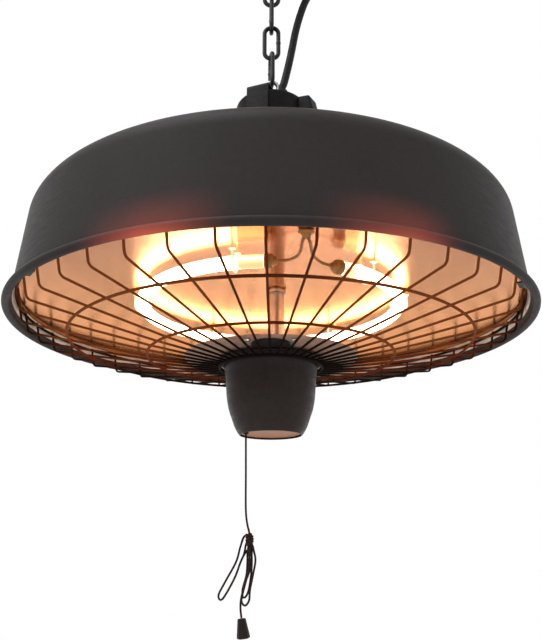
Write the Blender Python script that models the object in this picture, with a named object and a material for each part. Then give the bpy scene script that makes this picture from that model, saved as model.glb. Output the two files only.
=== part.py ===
# Hanging patio heater: a spun shade with a ring-shaped quartz tube behind a wire
# guard, a switch cup with a pull cord below it, and a chain up to a ceiling rose.
#
# The origin is on the ceiling face, in the middle of the rose. +Z is up and the
# front of the heater looks along -Y. Everything is in metres.

import math

import bmesh
import bpy
from mathutils import Matrix, Vector

# The scene starts empty
for old in list(bpy.data.objects):
    bpy.data.objects.remove(old, do_unlink=True)

# Shared clearances
SEAT_GAP = 0.0003
BORE_GAP = 0.0003
CUT_OVERRUN = 0.002

# Ceiling rose and hook
ROSE_RADIUS = 0.085
ROSE_THICKNESS = 0.004
ROSE_CHAMFER = 0.0015
ROSE_BOSS_RADIUS = 0.009
ROSE_BOSS_HEIGHT = 0.008
ROSE_SCREW_RADIUS = 0.0025
ROSE_SCREW_REACH = 0.050
ROSE_SCREW_COUNT = 2
HOOK_ROD_RADIUS = 0.0025
HOOK_BOWL_RADIUS = 0.0092
HOOK_DROP = 0.0772
HOOK_NUT_RADIUS = 0.0058
HOOK_NUT_HEIGHT = 0.004
HOOK_SPACING_SHARE = 1.4
HOOK_ROUTE_SHARES = (
    (0.0, 2.3),
    (0.12, 1.75),
    (0.55, 1.12),
    (0.90, 0.55),
    (1.0, 0.0),
    (0.707, -0.707),
    (0.0, -1.0),
    (-0.707, -0.707),
    (-1.0, 0.0),
    (-0.96, 0.45),
)

# Chain
LINK_WIRE_RADIUS = 0.002
LINK_INNER_LENGTH = 0.0301
LINK_INNER_WIDTH = 0.009
LINK_COUNT = 4
LINK_BEND_STEPS = 6

# Eye bolt with its two nuts
EYE_WIRE_RADIUS = 0.0018
EYE_RING_RADIUS = 0.0062
EYE_RISE = 0.016
EYE_SHANK_RADIUS = 0.0022
EYE_SHANK_TAIL = 0.0026
EYE_NUT_RADIUS = 0.0046
EYE_TOP_NUT_HEIGHT = 0.0034
EYE_LOW_NUT_HEIGHT = 0.0023

# Hanger strap, an upside-down U over the cap
STRAP_WIDTH = 0.020
STRAP_THICKNESS = 0.0018
STRAP_BEND_RADIUS = 0.0035
STRAP_FOOT_LENGTH = 0.0125
STRAP_YAW_DEG = -21.7
STRAP_SCREW_RADIUS = 0.002
STRAP_SCREW_HEAD_RADIUS = 0.0038
STRAP_SCREW_HEAD_HEIGHT = 0.0022

# Top cap with its moulded lug and the cable's grommet
CAP_RADIUS = 0.0317
CAP_HEIGHT = 0.0663
CAP_WALL = 0.002
CAP_EDGE_RADIUS = 0.0025
CAP_TO_STRAP = 0.003
LUG_TOP_REACH = 0.0078
LUG_REACH = 0.0148
LUG_SLOPE_HEIGHT = 0.018
LUG_LIP_HEIGHT = 0.006
LUG_UNDERCUT_HEIGHT = 0.010
LUG_WIDTH = 0.014
LUG_TURN_DEG = 60.0
GROMMET_RADIUS = 0.0057
GROMMET_RISE = 0.0042
GROMMET_NECK_RADIUS = 0.0046
GROMMET_LIP = 0.0016
GROMMET_EDGE = 0.0009

# Shade, a spun steel shell with a rolled bead
RIM_RADIUS = 0.2125
BEAD_RADIUS = 0.00325
BEAD_START_DEG = 125.0
BEAD_END_DEG = -215.0
SHADE_THICKNESS = 0.0012
WALL_HEIGHT = 0.0703
WALL_LEAN_DEG = 5.97
SHOULDER_RADIUS = 0.0221
CROWN_OUTER_SLOPE_DEG = 29.8
CROWN_INNER_SLOPE_DEG = 14.0
CROWN_SEAT_RADIUS = 0.051
WIRE_HOLE_RADIUS = 0.005
WIRE_HOLE_X = -0.014
WIRE_HOLE_Y = -0.008

# Reflector, a polished dish
REFLECTOR_THICKNESS = 0.001
REFLECTOR_EDGE_HEIGHT = 0.012
REFLECTOR_RISE = 0.020
REFLECTOR_LIP = 0.003

# Ring-shaped quartz tube with its caps, leads and clips
TUBE_RING_RADIUS = 0.106
TUBE_RADIUS = 0.005
TUBE_HEIGHT = 0.0165
TUBE_STRAIGHT_END = 0.002
TUBE_START_DEG = 29.9
TUBE_END_DEG = 356.1
END_CAP_RADIUS = 0.0057
END_CAP_LENGTH = 0.0095
END_CAP_NECK_RADIUS = 0.0043
END_CAP_TIP_RADIUS = 0.0031
END_CAP_BODY_SHARE = 0.7
LEAD_RADIUS = 0.0014
LEAD_BUSH_RADIUS = 0.0055
LEAD_BUSH_TIP_RADIUS = 0.0044
LEAD_BUSH_HEIGHT = 0.004
LEAD_BUSH_REACH = 0.151
LEAD_BUSH_DEG = 8.7
LEAD_SPREAD = 0.0023
LEAD_RUN = 0.018
LEAD_FALL = 0.010
CLIP_WIRE_RADIUS = 0.0008
CLIP_CLEARANCE = 0.0009
CLIP_ANGLES_DEG = (85.0, 147.0, 213.0, 275.0, 346.0, 42.0)
CLIP_BEND_STEPS = 4
WIRING_RADIUS = 0.0022
WIRING_CLEARANCE = 0.004

# Centre tube with its nuts, the shield plate and the cup's bracket
STEM_OFFSET = 0.0045
STEM_RADIUS = 0.0065
STEM_BORE_RADIUS = 0.005
STEM_TOP_REACH = 0.008
STEM_NUT_RADIUS = 0.0115
STEM_NUT_HEIGHT = 0.005
SHIELD_RADIUS = 0.0708
SHIELD_HEIGHT = -0.0273
SHIELD_THICKNESS = 0.0012
BRACKET_WIDTH = 0.030
BRACKET_LENGTH = 0.124
BRACKET_THICKNESS = 0.0015
BRACKET_END_STEPS = 10

# Wire guard
GUARD_WIRE_COUNT = 42
GUARD_FIRST_WIRE_DEG = -0.88
GUARD_WIRE_RADIUS = 0.00105
GUARD_RING_WIRE_RADIUS = 0.00115
GUARD_WELD = 0.0007
GUARD_RIM_HEIGHT = 0.0075
GUARD_BEND_INSET = 0.0052
GUARD_BEND_HEIGHT = -0.0071
GUARD_OUTER_RING_INSET = 0.0325
GUARD_INNER_RING_RADIUS = 0.1005
GUARD_INNER_RING_HEIGHT = -0.0255
GUARD_END_RADIUS = 0.0412
GUARD_END_HEIGHT = -0.0335
GUARD_RIM_CLEARANCE = 0.0013
GUARD_CLIP_COUNT = 3
GUARD_CLIP_WIDTH = 0.012
GUARD_CLIP_THICKNESS = 0.0012
GUARD_CLIP_REACH = 0.0055
GUARD_CLIP_LEG = 0.0026

# Switch cup and its base
CUP_TOP_RADIUS = 0.0396
CUP_BASE_RADIUS = 0.0253
CUP_WALL = 0.0012
CUP_DEPTH = 0.0606
CUP_FLANGE = 0.0034
CUP_FLANGE_LAP_SHARE = 0.25
CUP_OUTLINE_SHARES = (
    (1.0, 0.0),
    (0.83, 0.19),
    (0.775, 0.35),
    (0.715, 0.52),
    (0.60, 0.66),
    (0.40, 0.80),
    (0.235, 0.905),
    (0.0, 1.0),
)
BASE_THICKNESS = 0.002

# Pull switch inside the cup
CORD_OUT_X = -0.0196
CORD_OUT_Y = -0.006
SWITCH_WIDTH = 0.022
SWITCH_LENGTH = 0.026
SWITCH_HEIGHT = 0.030
SWITCH_SETBACK = 0.0036
SLIDER_WIDTH = 0.006
SLIDER_DEPTH = 0.004
SLIDER_HEIGHT = 0.010
SLIDER_PLAY = 0.0004
SLIDER_ARM_HEIGHT = 0.003
SLIDER_ARM_WIDTH = 0.005
SLIDER_ARM_REACH = 0.0065
SLIDER_ARM_DROP = 0.003
SLIDER_TOP_DROP = 0.001
PULL_TRAVEL = 0.012
CHANNEL_FLOOR = 0.003
SPRING_RADIUS = 0.0015
SPRING_WIRE_RADIUS = 0.00025
SPRING_TURNS = 4
BUSH_RADIUS = 0.0021
BUSH_FLANGE_RADIUS = 0.0029
BUSH_FLANGE = 0.001
BUSH_BORE_RADIUS = 0.0012

# Terminal block inside the cap
TERMINAL_LENGTH = 0.026
TERMINAL_WIDTH = 0.012
TERMINAL_HEIGHT = 0.009
TERMINAL_POLES = 3
TERMINAL_POLE_HEIGHT = 0.004
TERMINAL_POLE_RADIUS = 0.0034
TERMINAL_OFFSET = 0.0195

# Where an inner wire arches between its two ends
ARCH_START_SHARE = 0.35
ARCH_END_SHARE = 0.8
CROWN_ARCH_END_SHARE = 0.75
STEM_ARCH_START_SHARE = 0.25

# Pull cord, its knot, loops, tail and knob, as points from the knot's middle
CORD_RADIUS = 0.0008
KNOT_X = -0.0159
KNOT_DROP = 0.0799
KNOT_RADIUS = 0.0034
KNOT_HEIGHT = 0.011
KNOT_OUTLINE_SHARES = (
    (0.0, 0.5),
    (0.47, 0.5),
    (0.88, 0.3),
    (1.0, 0.0),
    (0.94, -0.28),
    (0.78, -0.5),
    (0.0, -0.5),
)
KNOB_TOP_RADIUS = 0.003
KNOB_LOW_RADIUS = 0.005
KNOB_HEIGHT = 0.014
KNOB_EDGE = 0.001
KNOB_LEAN_DEG = 7.0
CORD_ROUTE = (
    (-0.0034, 0.0, 0.0500),
    (-0.0031, 0.0, 0.0222),
    (-0.0018, 0.0, 0.0111),
    (-0.0004, 0.0, 0.0058),
)
LOOPS_ROUTE = (
    (0.0030, -0.0030, -0.0068),
    (0.0046, -0.0031, -0.0147),
    (0.0028, -0.0031, -0.0254),
    (0.0007, -0.0031, -0.0360),
    (0.0001, -0.0031, -0.0431),
    (-0.0029, -0.0031, -0.0466),
    (-0.0055, -0.0031, -0.0431),
    (-0.0037, -0.0031, -0.0346),
    (-0.0005, -0.0031, -0.0219),
    (0.0001, -0.0028, -0.0100),
    (-0.0009, -0.0006, -0.0069),
    (-0.0016, 0.0014, -0.0100),
    (-0.0016, 0.0017, -0.0168),
    (-0.0022, 0.0017, -0.0254),
    (-0.0050, 0.0017, -0.0360),
    (-0.0041, 0.0017, -0.0416),
    (-0.0008, 0.0017, -0.0374),
    (0.0013, 0.0017, -0.0254),
    (0.0018, 0.0018, -0.0150),
    (0.0012, 0.0024, -0.0092),
    (-0.0009, 0.0038, -0.0070),
    (-0.0036, 0.0034, -0.0100),
    (-0.0067, 0.0032, -0.0161),
    (-0.0107, 0.0030, -0.0268),
    (-0.0173, 0.0028, -0.0388),
    (-0.0210, 0.0026, -0.0431),
    (-0.0228, 0.0024, -0.0395),
    (-0.0181, 0.0020, -0.0304),
    (-0.0101, 0.0014, -0.0161),
    (-0.0072, 0.0008, -0.0060),
    (-0.0052, 0.0002, 0.0002),
)
TAIL_ROUTE = (
    (0.0018, -0.0007, -0.0058),
    (0.0016, -0.0007, -0.0140),
    (0.0003, -0.0007, -0.0220),
    (-0.0030, -0.0007, -0.0311),
    (-0.0058, -0.0007, -0.0416),
    (-0.0062, -0.0007, -0.0487),
    (-0.0054, -0.0007, -0.0552),
)

# Mains cable from the grommet to the ceiling rose, as points from the rim's middle
CABLE_RADIUS = 0.0034
CABLE_EXIT_X = 0.0095
CABLE_EXIT_Y = -0.020
CABLE_TOP_X = 0.058
CABLE_TOP_Y = -0.003
CABLE_GLAND_RADIUS = 0.0085
CABLE_GLAND_HEIGHT = 0.013
CABLE_GLAND_TIP_RADIUS = 0.0062
CABLE_GLAND_BODY_SHARE = 0.55
CABLE_ROUTE = (
    (0.0104, -0.0196, 0.2190),
    (0.0121, -0.0186, 0.2257),
    (0.0158, -0.0164, 0.2441),
    (0.0191, -0.0135, 0.2634),
    (0.0223, -0.0107, 0.2831),
    (0.0267, -0.0088, 0.3025),
    (0.0329, -0.0068, 0.3223),
    (0.0430, -0.0050, 0.3400),
    (0.0550, -0.0040, 0.3565),
    (0.0635, -0.0034, 0.3730),
    (0.0648, -0.0030, 0.3880),
    (0.0603, -0.0030, 0.3990),
)

# Facets
ROUND_STEPS = 48
PLATE_STEPS = 36
CUP_STEPS = 30
DISH_STEPS = 3
TUBE_STEPS = 34
LEAD_STEPS = 10
SMALL_ROUND_STEPS = 24
ROD_STEPS = 20
GUARD_WIRE_SIDES = 4


# Heights worked out from the sizes above, from the ceiling down
link_pitch = LINK_INNER_LENGTH - SEAT_GAP
hook_height = -HOOK_DROP
first_link_height = hook_height + HOOK_ROD_RADIUS + SEAT_GAP - LINK_INNER_LENGTH / 2
last_link_height = first_link_height - (LINK_COUNT - 1) * link_pitch
last_wire_height = last_link_height - LINK_INNER_LENGTH / 2 - LINK_WIRE_RADIUS
eye_height = last_wire_height + LINK_WIRE_RADIUS + SEAT_GAP + EYE_WIRE_RADIUS - EYE_RING_RADIUS
strap_top = eye_height - EYE_RISE
strap_underside = strap_top - STRAP_THICKNESS
cap_top = strap_underside - CAP_TO_STRAP
seat_top = cap_top - CAP_HEIGHT - SEAT_GAP


def on_arc(centre, radius, start_deg, end_deg, steps):
    """Points along an arc of an outline."""
    points = []
    for step in range(steps + 1):
        angle = math.radians(start_deg + (end_deg - start_deg) * step / steps)
        points.append(Vector((centre[0] + radius * math.cos(angle), centre[1] + radius * math.sin(angle))))
    return points


def beside(path, distance):
    """The path moved to its left by a distance, with mitred corners."""
    moved = []
    for index, point in enumerate(path):
        headings = []
        if index > 0:
            headings.append((point - path[index - 1]).normalized())
        if index < len(path) - 1:
            headings.append((path[index + 1] - point).normalized())
        lefts = [Vector((-heading.y, heading.x)) for heading in headings]
        mean = (lefts[0] + lefts[-1]).normalized()
        moved.append(point + mean * (distance / mean.dot(lefts[0])))
    return moved


def around(turn_deg, reach, height):
    """A point at an angle from the front, turning towards +X."""
    angle = math.radians(turn_deg)
    return Vector((reach * math.sin(angle), -reach * math.cos(angle), height))


def smooth_route(route, spacing):
    """Points about evenly spaced on a smooth curve through the route's own points."""
    points = [Vector(point) for point in route]
    points = [2 * points[0] - points[1]] + points + [2 * points[-1] - points[-2]]
    fine = []
    for a, b, c, d in zip(points, points[1:], points[2:], points[3:]):
        steps = max(2, math.ceil((c - b).length / spacing * 4))
        for step in range(steps):
            t = step / steps
            curve = 2 * b + (c - a) * t + (2 * a - 5 * b + 4 * c - d) * t**2
            fine.append((curve + (3 * b - a - 3 * c + d) * t**3) / 2)
    fine.append(points[-2])
    total = sum((b - a).length for a, b in zip(fine, fine[1:]))
    count = max(2, round(total / spacing))
    even = [fine[0]]
    walked = 0.0
    for a, b in zip(fine, fine[1:]):
        step = (b - a).length
        while len(even) < count and walked + step >= total * len(even) / count:
            even.append(a.lerp(b, (total * len(even) / count - walked) / step))
        walked += step
    if len(even) <= count:
        even.append(fine[-1])
    return even


def route_length(points):
    return sum((b - a).length for a, b in zip(points, points[1:]))


def finish(name, colour, roughness, metallic):
    material = bpy.data.materials.new(name)
    material.use_nodes = True
    shader = material.node_tree.nodes["Principled BSDF"]
    shader.inputs["Base Color"].default_value = (*colour, 1)
    shader.inputs["Roughness"].default_value = roughness
    shader.inputs["Metallic"].default_value = metallic
    return material


# The looks of the pieces: colour, roughness and metallic value
LOOKS = {
    "dark_enamel": ((0.045, 0.041, 0.038), 0.45, 0.0),
    "black_steel": ((0.03, 0.03, 0.03), 0.40, 1.0),
    "zinc": ((0.62, 0.62, 0.60), 0.30, 1.0),
    "polished_aluminium": ((0.86, 0.84, 0.80), 0.15, 1.0),
    "guard_steel": ((0.10, 0.04, 0.02), 0.45, 1.0),
    "quartz": ((1.0, 0.80, 0.55), 0.10, 0.0),
    "ceramic": ((0.75, 0.72, 0.66), 0.60, 0.0),
    "black_plastic": ((0.025, 0.025, 0.025), 0.45, 0.0),
    "black_rubber": ((0.02, 0.02, 0.02), 0.65, 0.0),
    "white_plastic": ((0.80, 0.79, 0.76), 0.40, 0.0),
    "cord_fabric": ((0.03, 0.025, 0.022), 0.80, 0.0),
    "satin_base": ((0.62, 0.36, 0.19), 0.35, 0.0),
    "wire_sleeve": ((0.35, 0.25, 0.16), 0.70, 0.0),
}


def dress(piece, look):
    colour, roughness, metallic = LOOKS[look]
    piece.data.materials.append(finish(piece.name + "_" + look, colour, roughness, metallic))


def solid(name, bm, look, place=(0, 0, 0), smooth=True):
    """A named object from a bmesh, with its faces out."""
    bmesh.ops.recalc_face_normals(bm, faces=bm.faces)
    mesh = bpy.data.meshes.new(name)
    bm.to_mesh(mesh)
    bm.free()
    piece = bpy.data.objects.new(name, mesh)
    piece.location = place
    bpy.context.scene.collection.objects.link(piece)
    dress(piece, look)
    if smooth:
        mesh.shade_smooth()
        mesh.set_sharp_from_angle(angle=math.radians(35))
    return piece


def turned(name, outline, look, place=(0, 0, 0), steps=PLATE_STEPS):
    """An outline of (r, z) points turned about the piece's own Z axis."""
    bm = bmesh.new()
    corners = [bm.verts.new((point[0], 0, point[1])) for point in outline]
    edges = [bm.edges.new(pair) for pair in zip(corners, corners[1:])]
    on_axis = outline[0][0] == 0 and outline[-1][0] == 0
    if not on_axis:
        edges.append(bm.edges.new((corners[-1], corners[0])))
    bmesh.ops.spin(
        bm,
        geom=corners + edges,
        axis=(0, 0, 1),
        cent=(0, 0, 0),
        angle=math.tau,
        steps=steps,
        use_merge=True,
    )
    if on_axis:
        axis_points = [vert for vert in bm.verts if vert.co.xy.length < SEAT_GAP / 10]
        bmesh.ops.remove_doubles(bm, verts=axis_points, dist=SEAT_GAP / 10)
    return solid(name, bm, look, place)


def extruded(name, outline, depth, look, place=(0, 0, 0), smooth=False):
    """A flat outline in the piece's own XY plane, drawn out along its +Z."""
    bm = bmesh.new()
    face = bm.faces.new([bm.verts.new((point[0], point[1], 0)) for point in outline])
    drawn = bmesh.ops.extrude_face_region(bm, geom=[face])
    raised = [item for item in drawn["geom"] if isinstance(item, bmesh.types.BMVert)]
    bmesh.ops.translate(bm, verts=raised, vec=(0, 0, depth))
    return solid(name, bm, look, place, smooth)


def block(name, size, look, place=(0, 0, 0)):
    """A box whose own origin is in the middle of its base."""
    half_x, half_y = size[0] / 2, size[1] / 2
    outline = ((-half_x, -half_y), (half_x, -half_y), (half_x, half_y), (-half_x, half_y))
    return extruded(name, outline, size[2], look, place)


def rod(name, points, radius, look, place=(0, 0, 0), cyclic=False, resolution=2):
    """A round rod or cord along a row of points."""
    curve = bpy.data.curves.new(name, "CURVE")
    curve.dimensions = "3D"
    curve.bevel_depth = radius
    curve.bevel_resolution = resolution
    curve.use_fill_caps = not cyclic
    spline = curve.splines.new("POLY")
    spline.points.add(len(points) - 1)
    for slot, point in zip(spline.points, points):
        slot.co = (*point, 1)
    spline.use_cyclic_u = cyclic
    spline.use_smooth = True
    piece = bpy.data.objects.new(name, curve)
    piece.location = place
    bpy.context.scene.collection.objects.link(piece)
    dress(piece, look)
    return piece


def nut(name, radius, bore, height, look, place):
    """A hexagon nut with its base at its own origin."""
    bm = bmesh.new()
    rings = []
    for level in (0, height):
        for reach in (radius, bore):
            ring = []
            for step in range(12):
                angle = math.radians(30 * step)
                flat = math.cos(math.radians(30)) if step % 2 and reach == radius else 1
                across = reach * flat
                ring.append(bm.verts.new((across * math.cos(angle), across * math.sin(angle), level)))
            rings.append(ring)
    low_out, low_in, high_out, high_in = rings
    for a, b in ((low_out, high_out), (high_out, high_in), (high_in, low_in), (low_in, low_out)):
        for step in range(12):
            after = (step + 1) % 12
            bm.faces.new((a[step], a[after], b[after], b[step]))
    return solid(name, bm, look, place, smooth=False)


def add_tube(bm, path, sideways, radius, sides, cyclic=False):
    """Adds a tube to a bmesh; sideways gives the fixed cross direction at each point."""
    rings = []
    for index, point in enumerate(path):
        if cyclic:
            heading = path[(index + 1) % len(path)] - path[index - 1]
        else:
            heading = path[min(index + 1, len(path) - 1)] - path[max(index - 1, 0)]
        across = sideways[index]
        upright = heading.cross(across).normalized()
        ring = []
        for side in range(sides):
            angle = math.tau * side / sides
            outward = math.cos(angle) * upright + math.sin(angle) * across
            ring.append(bm.verts.new(point + radius * outward))
        rings.append(ring)
    pairs = list(zip(rings, rings[1:]))
    if cyclic:
        pairs.append((rings[-1], rings[0]))
    else:
        bm.faces.new(rings[0])
        bm.faces.new(rings[-1])
    for before, after in pairs:
        for side in range(sides):
            other = (side + 1) % sides
            bm.faces.new((before[side], before[other], after[other], after[side]))


def as_tool(tool):
    """Keeps a cutter or a piece that is joined to another out of the render."""
    tool.hide_render = True
    tool.display_type = "WIRE"
    return tool


def combine(piece, tool, operation):
    change = piece.modifiers.new(tool.name, "BOOLEAN")
    change.operation = operation
    change.solver = "EXACT"
    change.object = as_tool(tool)


def bore(piece, name, radius, low, high, place, steps=SMALL_ROUND_STEPS):
    """Cuts a round hole through a piece, parallel to Z."""
    outline = (
        (0, high + CUT_OVERRUN),
        (radius, high + CUT_OVERRUN),
        (radius, low - CUT_OVERRUN),
        (0, low - CUT_OVERRUN),
    )
    cutter = turned(name, outline, "zinc", (place[0], place[1], 0), steps)
    combine(piece, cutter, "DIFFERENCE")
    return cutter


def pivot(name, place, parent=None):
    """An empty on a joint's axis, which carries one moving body."""
    empty = bpy.data.objects.new(name, None)
    empty.empty_display_size = ROSE_BOSS_RADIUS
    bpy.context.scene.collection.objects.link(empty)
    empty["place"] = list(place)
    if parent:
        empty.parent = parent
        place = Vector(place) - Vector(parent["place"])
    empty.location = place
    return empty


def hang(carrier, *pieces):
    """Parents pieces to a pivot and leaves them where they are."""
    for piece in pieces:
        piece.parent = carrier
        piece.location = Vector(piece.location) - Vector(carrier["place"])
        for modifier in piece.modifiers:
            if modifier.type == "BOOLEAN" and modifier.object.parent is None:
                modifier.object.parent = carrier
                modifier.object.location = Vector(modifier.object.location) - Vector(carrier["place"])


# The shade's outer line from its foot up to the axis, as (r, z) from the rim's plane
wall_lean = math.radians(WALL_LEAN_DEG)
shoulder_end_deg = 90 - CROWN_OUTER_SLOPE_DEG
crown_end_deg = 90 - CROWN_INNER_SLOPE_DEG
bead_centre = Vector((RIM_RADIUS - BEAD_RADIUS, 0))
wall_foot = Vector((bead_centre.x - BEAD_RADIUS + SHADE_THICKNESS / 2, BEAD_RADIUS))
wall_top = wall_foot + Vector((-math.tan(wall_lean), 1)) * (WALL_HEIGHT - BEAD_RADIUS)
shoulder_centre = wall_top - Vector((math.cos(wall_lean), math.sin(wall_lean))) * SHOULDER_RADIUS
shoulder = on_arc(shoulder_centre, SHOULDER_RADIUS, WALL_LEAN_DEG, shoulder_end_deg, 4)
crown_run = math.cos(math.radians(shoulder_end_deg)) - math.cos(math.radians(crown_end_deg))
crown_radius = (shoulder[-1].x - CROWN_SEAT_RADIUS) / crown_run
crown_toward = Vector((math.cos(math.radians(shoulder_end_deg)), math.sin(math.radians(shoulder_end_deg))))
crown = on_arc(shoulder[-1] - crown_toward * crown_radius, crown_radius, shoulder_end_deg, crown_end_deg, 4)
seat_height = crown[-1].y
shade_line = [wall_foot] + shoulder + crown[1:] + [Vector((0, seat_height))]
rim_height = seat_top - seat_height


def wall_inside(height):
    """Radius of the wall's inner face at a height above the rim's plane."""
    return wall_foot.x - math.tan(wall_lean) * (height - wall_foot.y) - SHADE_THICKNESS / math.cos(wall_lean)


reflector_radius = wall_inside(REFLECTOR_EDGE_HEIGHT + REFLECTOR_LIP) - SEAT_GAP


def reflector_face(reach):
    """Height of the reflector's lower, polished face above the rim's plane.

    A parabola on its rings of points, and straight between two rings, like the solid.
    """
    rings_in = reach / reflector_radius * DISH_STEPS
    inner = min(int(rings_in), DISH_STEPS - 1)
    heights = []
    for ring in (inner, inner + 1):
        heights.append(REFLECTOR_EDGE_HEIGHT + REFLECTOR_RISE * (1 - (ring / DISH_STEPS) ** 2))
    return heights[0] + (heights[1] - heights[0]) * (rings_in - inner)


guard_ring_radius = wall_inside(GUARD_RIM_HEIGHT) - GUARD_RIM_CLEARANCE - GUARD_RING_WIRE_RADIUS
guard_offset = GUARD_WIRE_RADIUS + GUARD_RING_WIRE_RADIUS - GUARD_WELD
guard_end_reach = guard_ring_radius - guard_offset
guard_lean = GUARD_BEND_INSET / (GUARD_RIM_HEIGHT - GUARD_BEND_HEIGHT)
guard_bend_radius = guard_end_reach - GUARD_BEND_INSET
guard_outer_ring_radius = guard_bend_radius - GUARD_OUTER_RING_INSET
guard_line = (
    (guard_end_reach + guard_lean * GUARD_RING_WIRE_RADIUS, GUARD_RIM_HEIGHT + GUARD_RING_WIRE_RADIUS),
    (guard_bend_radius, GUARD_BEND_HEIGHT),
    (GUARD_INNER_RING_RADIUS, GUARD_INNER_RING_HEIGHT),
    (GUARD_END_RADIUS, GUARD_END_HEIGHT),
)

# The stack below the reflector, from the rim's plane
bracket_top = SHIELD_HEIGHT - SEAT_GAP
bracket_underside = bracket_top - BRACKET_THICKNESS
cup_top = bracket_underside - SEAT_GAP
cup_flange_radius = CUP_TOP_RADIUS + CUP_FLANGE
guard_end_slope = (GUARD_INNER_RING_HEIGHT - GUARD_END_HEIGHT) / (GUARD_INNER_RING_RADIUS - GUARD_END_RADIUS)
guard_at_flange = GUARD_END_HEIGHT + guard_end_slope * (cup_flange_radius - GUARD_END_RADIUS)
cup_flange_low = guard_at_flange + GUARD_WIRE_RADIUS + SEAT_GAP
cup_base = cup_top - CUP_DEPTH
base_top = cup_base + BASE_THICKNESS
switch_low = base_top + SEAT_GAP
switch_top = switch_low + SWITCH_HEIGHT
switch_face = CORD_OUT_X + SWITCH_SETBACK
slider_top = switch_top - SLIDER_TOP_DROP
slider_low = slider_top - SLIDER_HEIGHT
arm_top = slider_top - SLIDER_ARM_DROP
arm_low = arm_top - SLIDER_ARM_HEIGHT
knot_place = Vector((KNOT_X, CORD_OUT_Y, rim_height + cup_base - KNOT_DROP))


def at_rim(x, y, height):
    """A point given from the middle of the rim's plane."""
    return Vector((x, y, rim_height + height))


def make_ceiling_rose():
    outline = (
        (0, 0),
        (ROSE_RADIUS, 0),
        (ROSE_RADIUS, ROSE_CHAMFER - ROSE_THICKNESS),
        (ROSE_RADIUS - ROSE_CHAMFER, -ROSE_THICKNESS),
        (ROSE_BOSS_RADIUS, -ROSE_THICKNESS),
        (ROSE_BOSS_RADIUS, -ROSE_THICKNESS - ROSE_BOSS_HEIGHT),
        (0, -ROSE_THICKNESS - ROSE_BOSS_HEIGHT),
    )
    rose = turned("ceiling_rose", outline, "dark_enamel")
    thread_low = -ROSE_THICKNESS - ROSE_BOSS_HEIGHT
    thread_high = -ROSE_THICKNESS - CUT_OVERRUN
    bore(rose, "cut_rose_thread", HOOK_ROD_RADIUS + BORE_GAP, thread_low, thread_high, (0, 0))
    for index in range(ROSE_SCREW_COUNT):
        place = around(360 * index / ROSE_SCREW_COUNT, ROSE_SCREW_REACH, 0)
        bore(rose, f"cut_rose_screw_{index + 1}", ROSE_SCREW_RADIUS, -ROSE_THICKNESS, 0, place)
    return rose


def make_ceiling_hook():
    bowl = Vector((0, 0, hook_height + HOOK_BOWL_RADIUS))
    bend = [bowl + HOOK_BOWL_RADIUS * Vector((0, share[0], share[1])) for share in HOOK_ROUTE_SHARES]
    shank_top = Vector((0, 0, -ROSE_THICKNESS - SEAT_GAP))
    points = [shank_top] + smooth_route(bend, HOOK_SPACING_SHARE * HOOK_ROD_RADIUS)
    return rod("ceiling_hook", points, HOOK_ROD_RADIUS, "black_steel")


def make_ceiling_gland():
    shoulder_low = -CABLE_GLAND_HEIGHT * CABLE_GLAND_BODY_SHARE
    outline = (
        (0, 0),
        (CABLE_GLAND_RADIUS, 0),
        (CABLE_GLAND_RADIUS, shoulder_low),
        (CABLE_GLAND_TIP_RADIUS, -CABLE_GLAND_HEIGHT),
        (0, -CABLE_GLAND_HEIGHT),
    )
    place = (CABLE_TOP_X, CABLE_TOP_Y, -ROSE_THICKNESS - SEAT_GAP)
    return turned("ceiling_gland", outline, "black_plastic", place, SMALL_ROUND_STEPS)


def make_link(index):
    """A stadium of round wire; odd links face the front and even ones stand edge-on."""
    half_straight = (LINK_INNER_LENGTH - LINK_INNER_WIDTH) / 2
    bend = LINK_INNER_WIDTH / 2 + LINK_WIRE_RADIUS
    outline = on_arc((0, half_straight), bend, 0, 180, LINK_BEND_STEPS)
    outline += on_arc((0, -half_straight), bend, 180, 360, LINK_BEND_STEPS)
    points = [(point.x, 0, point.y) for point in outline]
    height = first_link_height - index * link_pitch
    link = rod(f"chain_link_{index + 1}", points, LINK_WIRE_RADIUS, "black_steel", (0, 0, height), cyclic=True)
    if index % 2:
        link.rotation_euler.z = math.radians(90)
    return link


def make_eye_bolt():
    wire = on_arc((EYE_RING_RADIUS, 0), EYE_WIRE_RADIUS, 0, 315, 7)
    ring = turned("eye_bolt", wire, "zinc", (0, 0, eye_height), ROD_STEPS)
    ring.rotation_euler.x = math.radians(90)
    shank_top = eye_height - EYE_RING_RADIUS
    shank_low = strap_underside - EYE_SHANK_TAIL
    outline = ((0, shank_top), (EYE_SHANK_RADIUS, shank_top), (EYE_SHANK_RADIUS, shank_low), (0, shank_low))
    combine(ring, turned("join_eye_shank", outline, "zinc", steps=ROD_STEPS), "UNION")
    return ring


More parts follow.
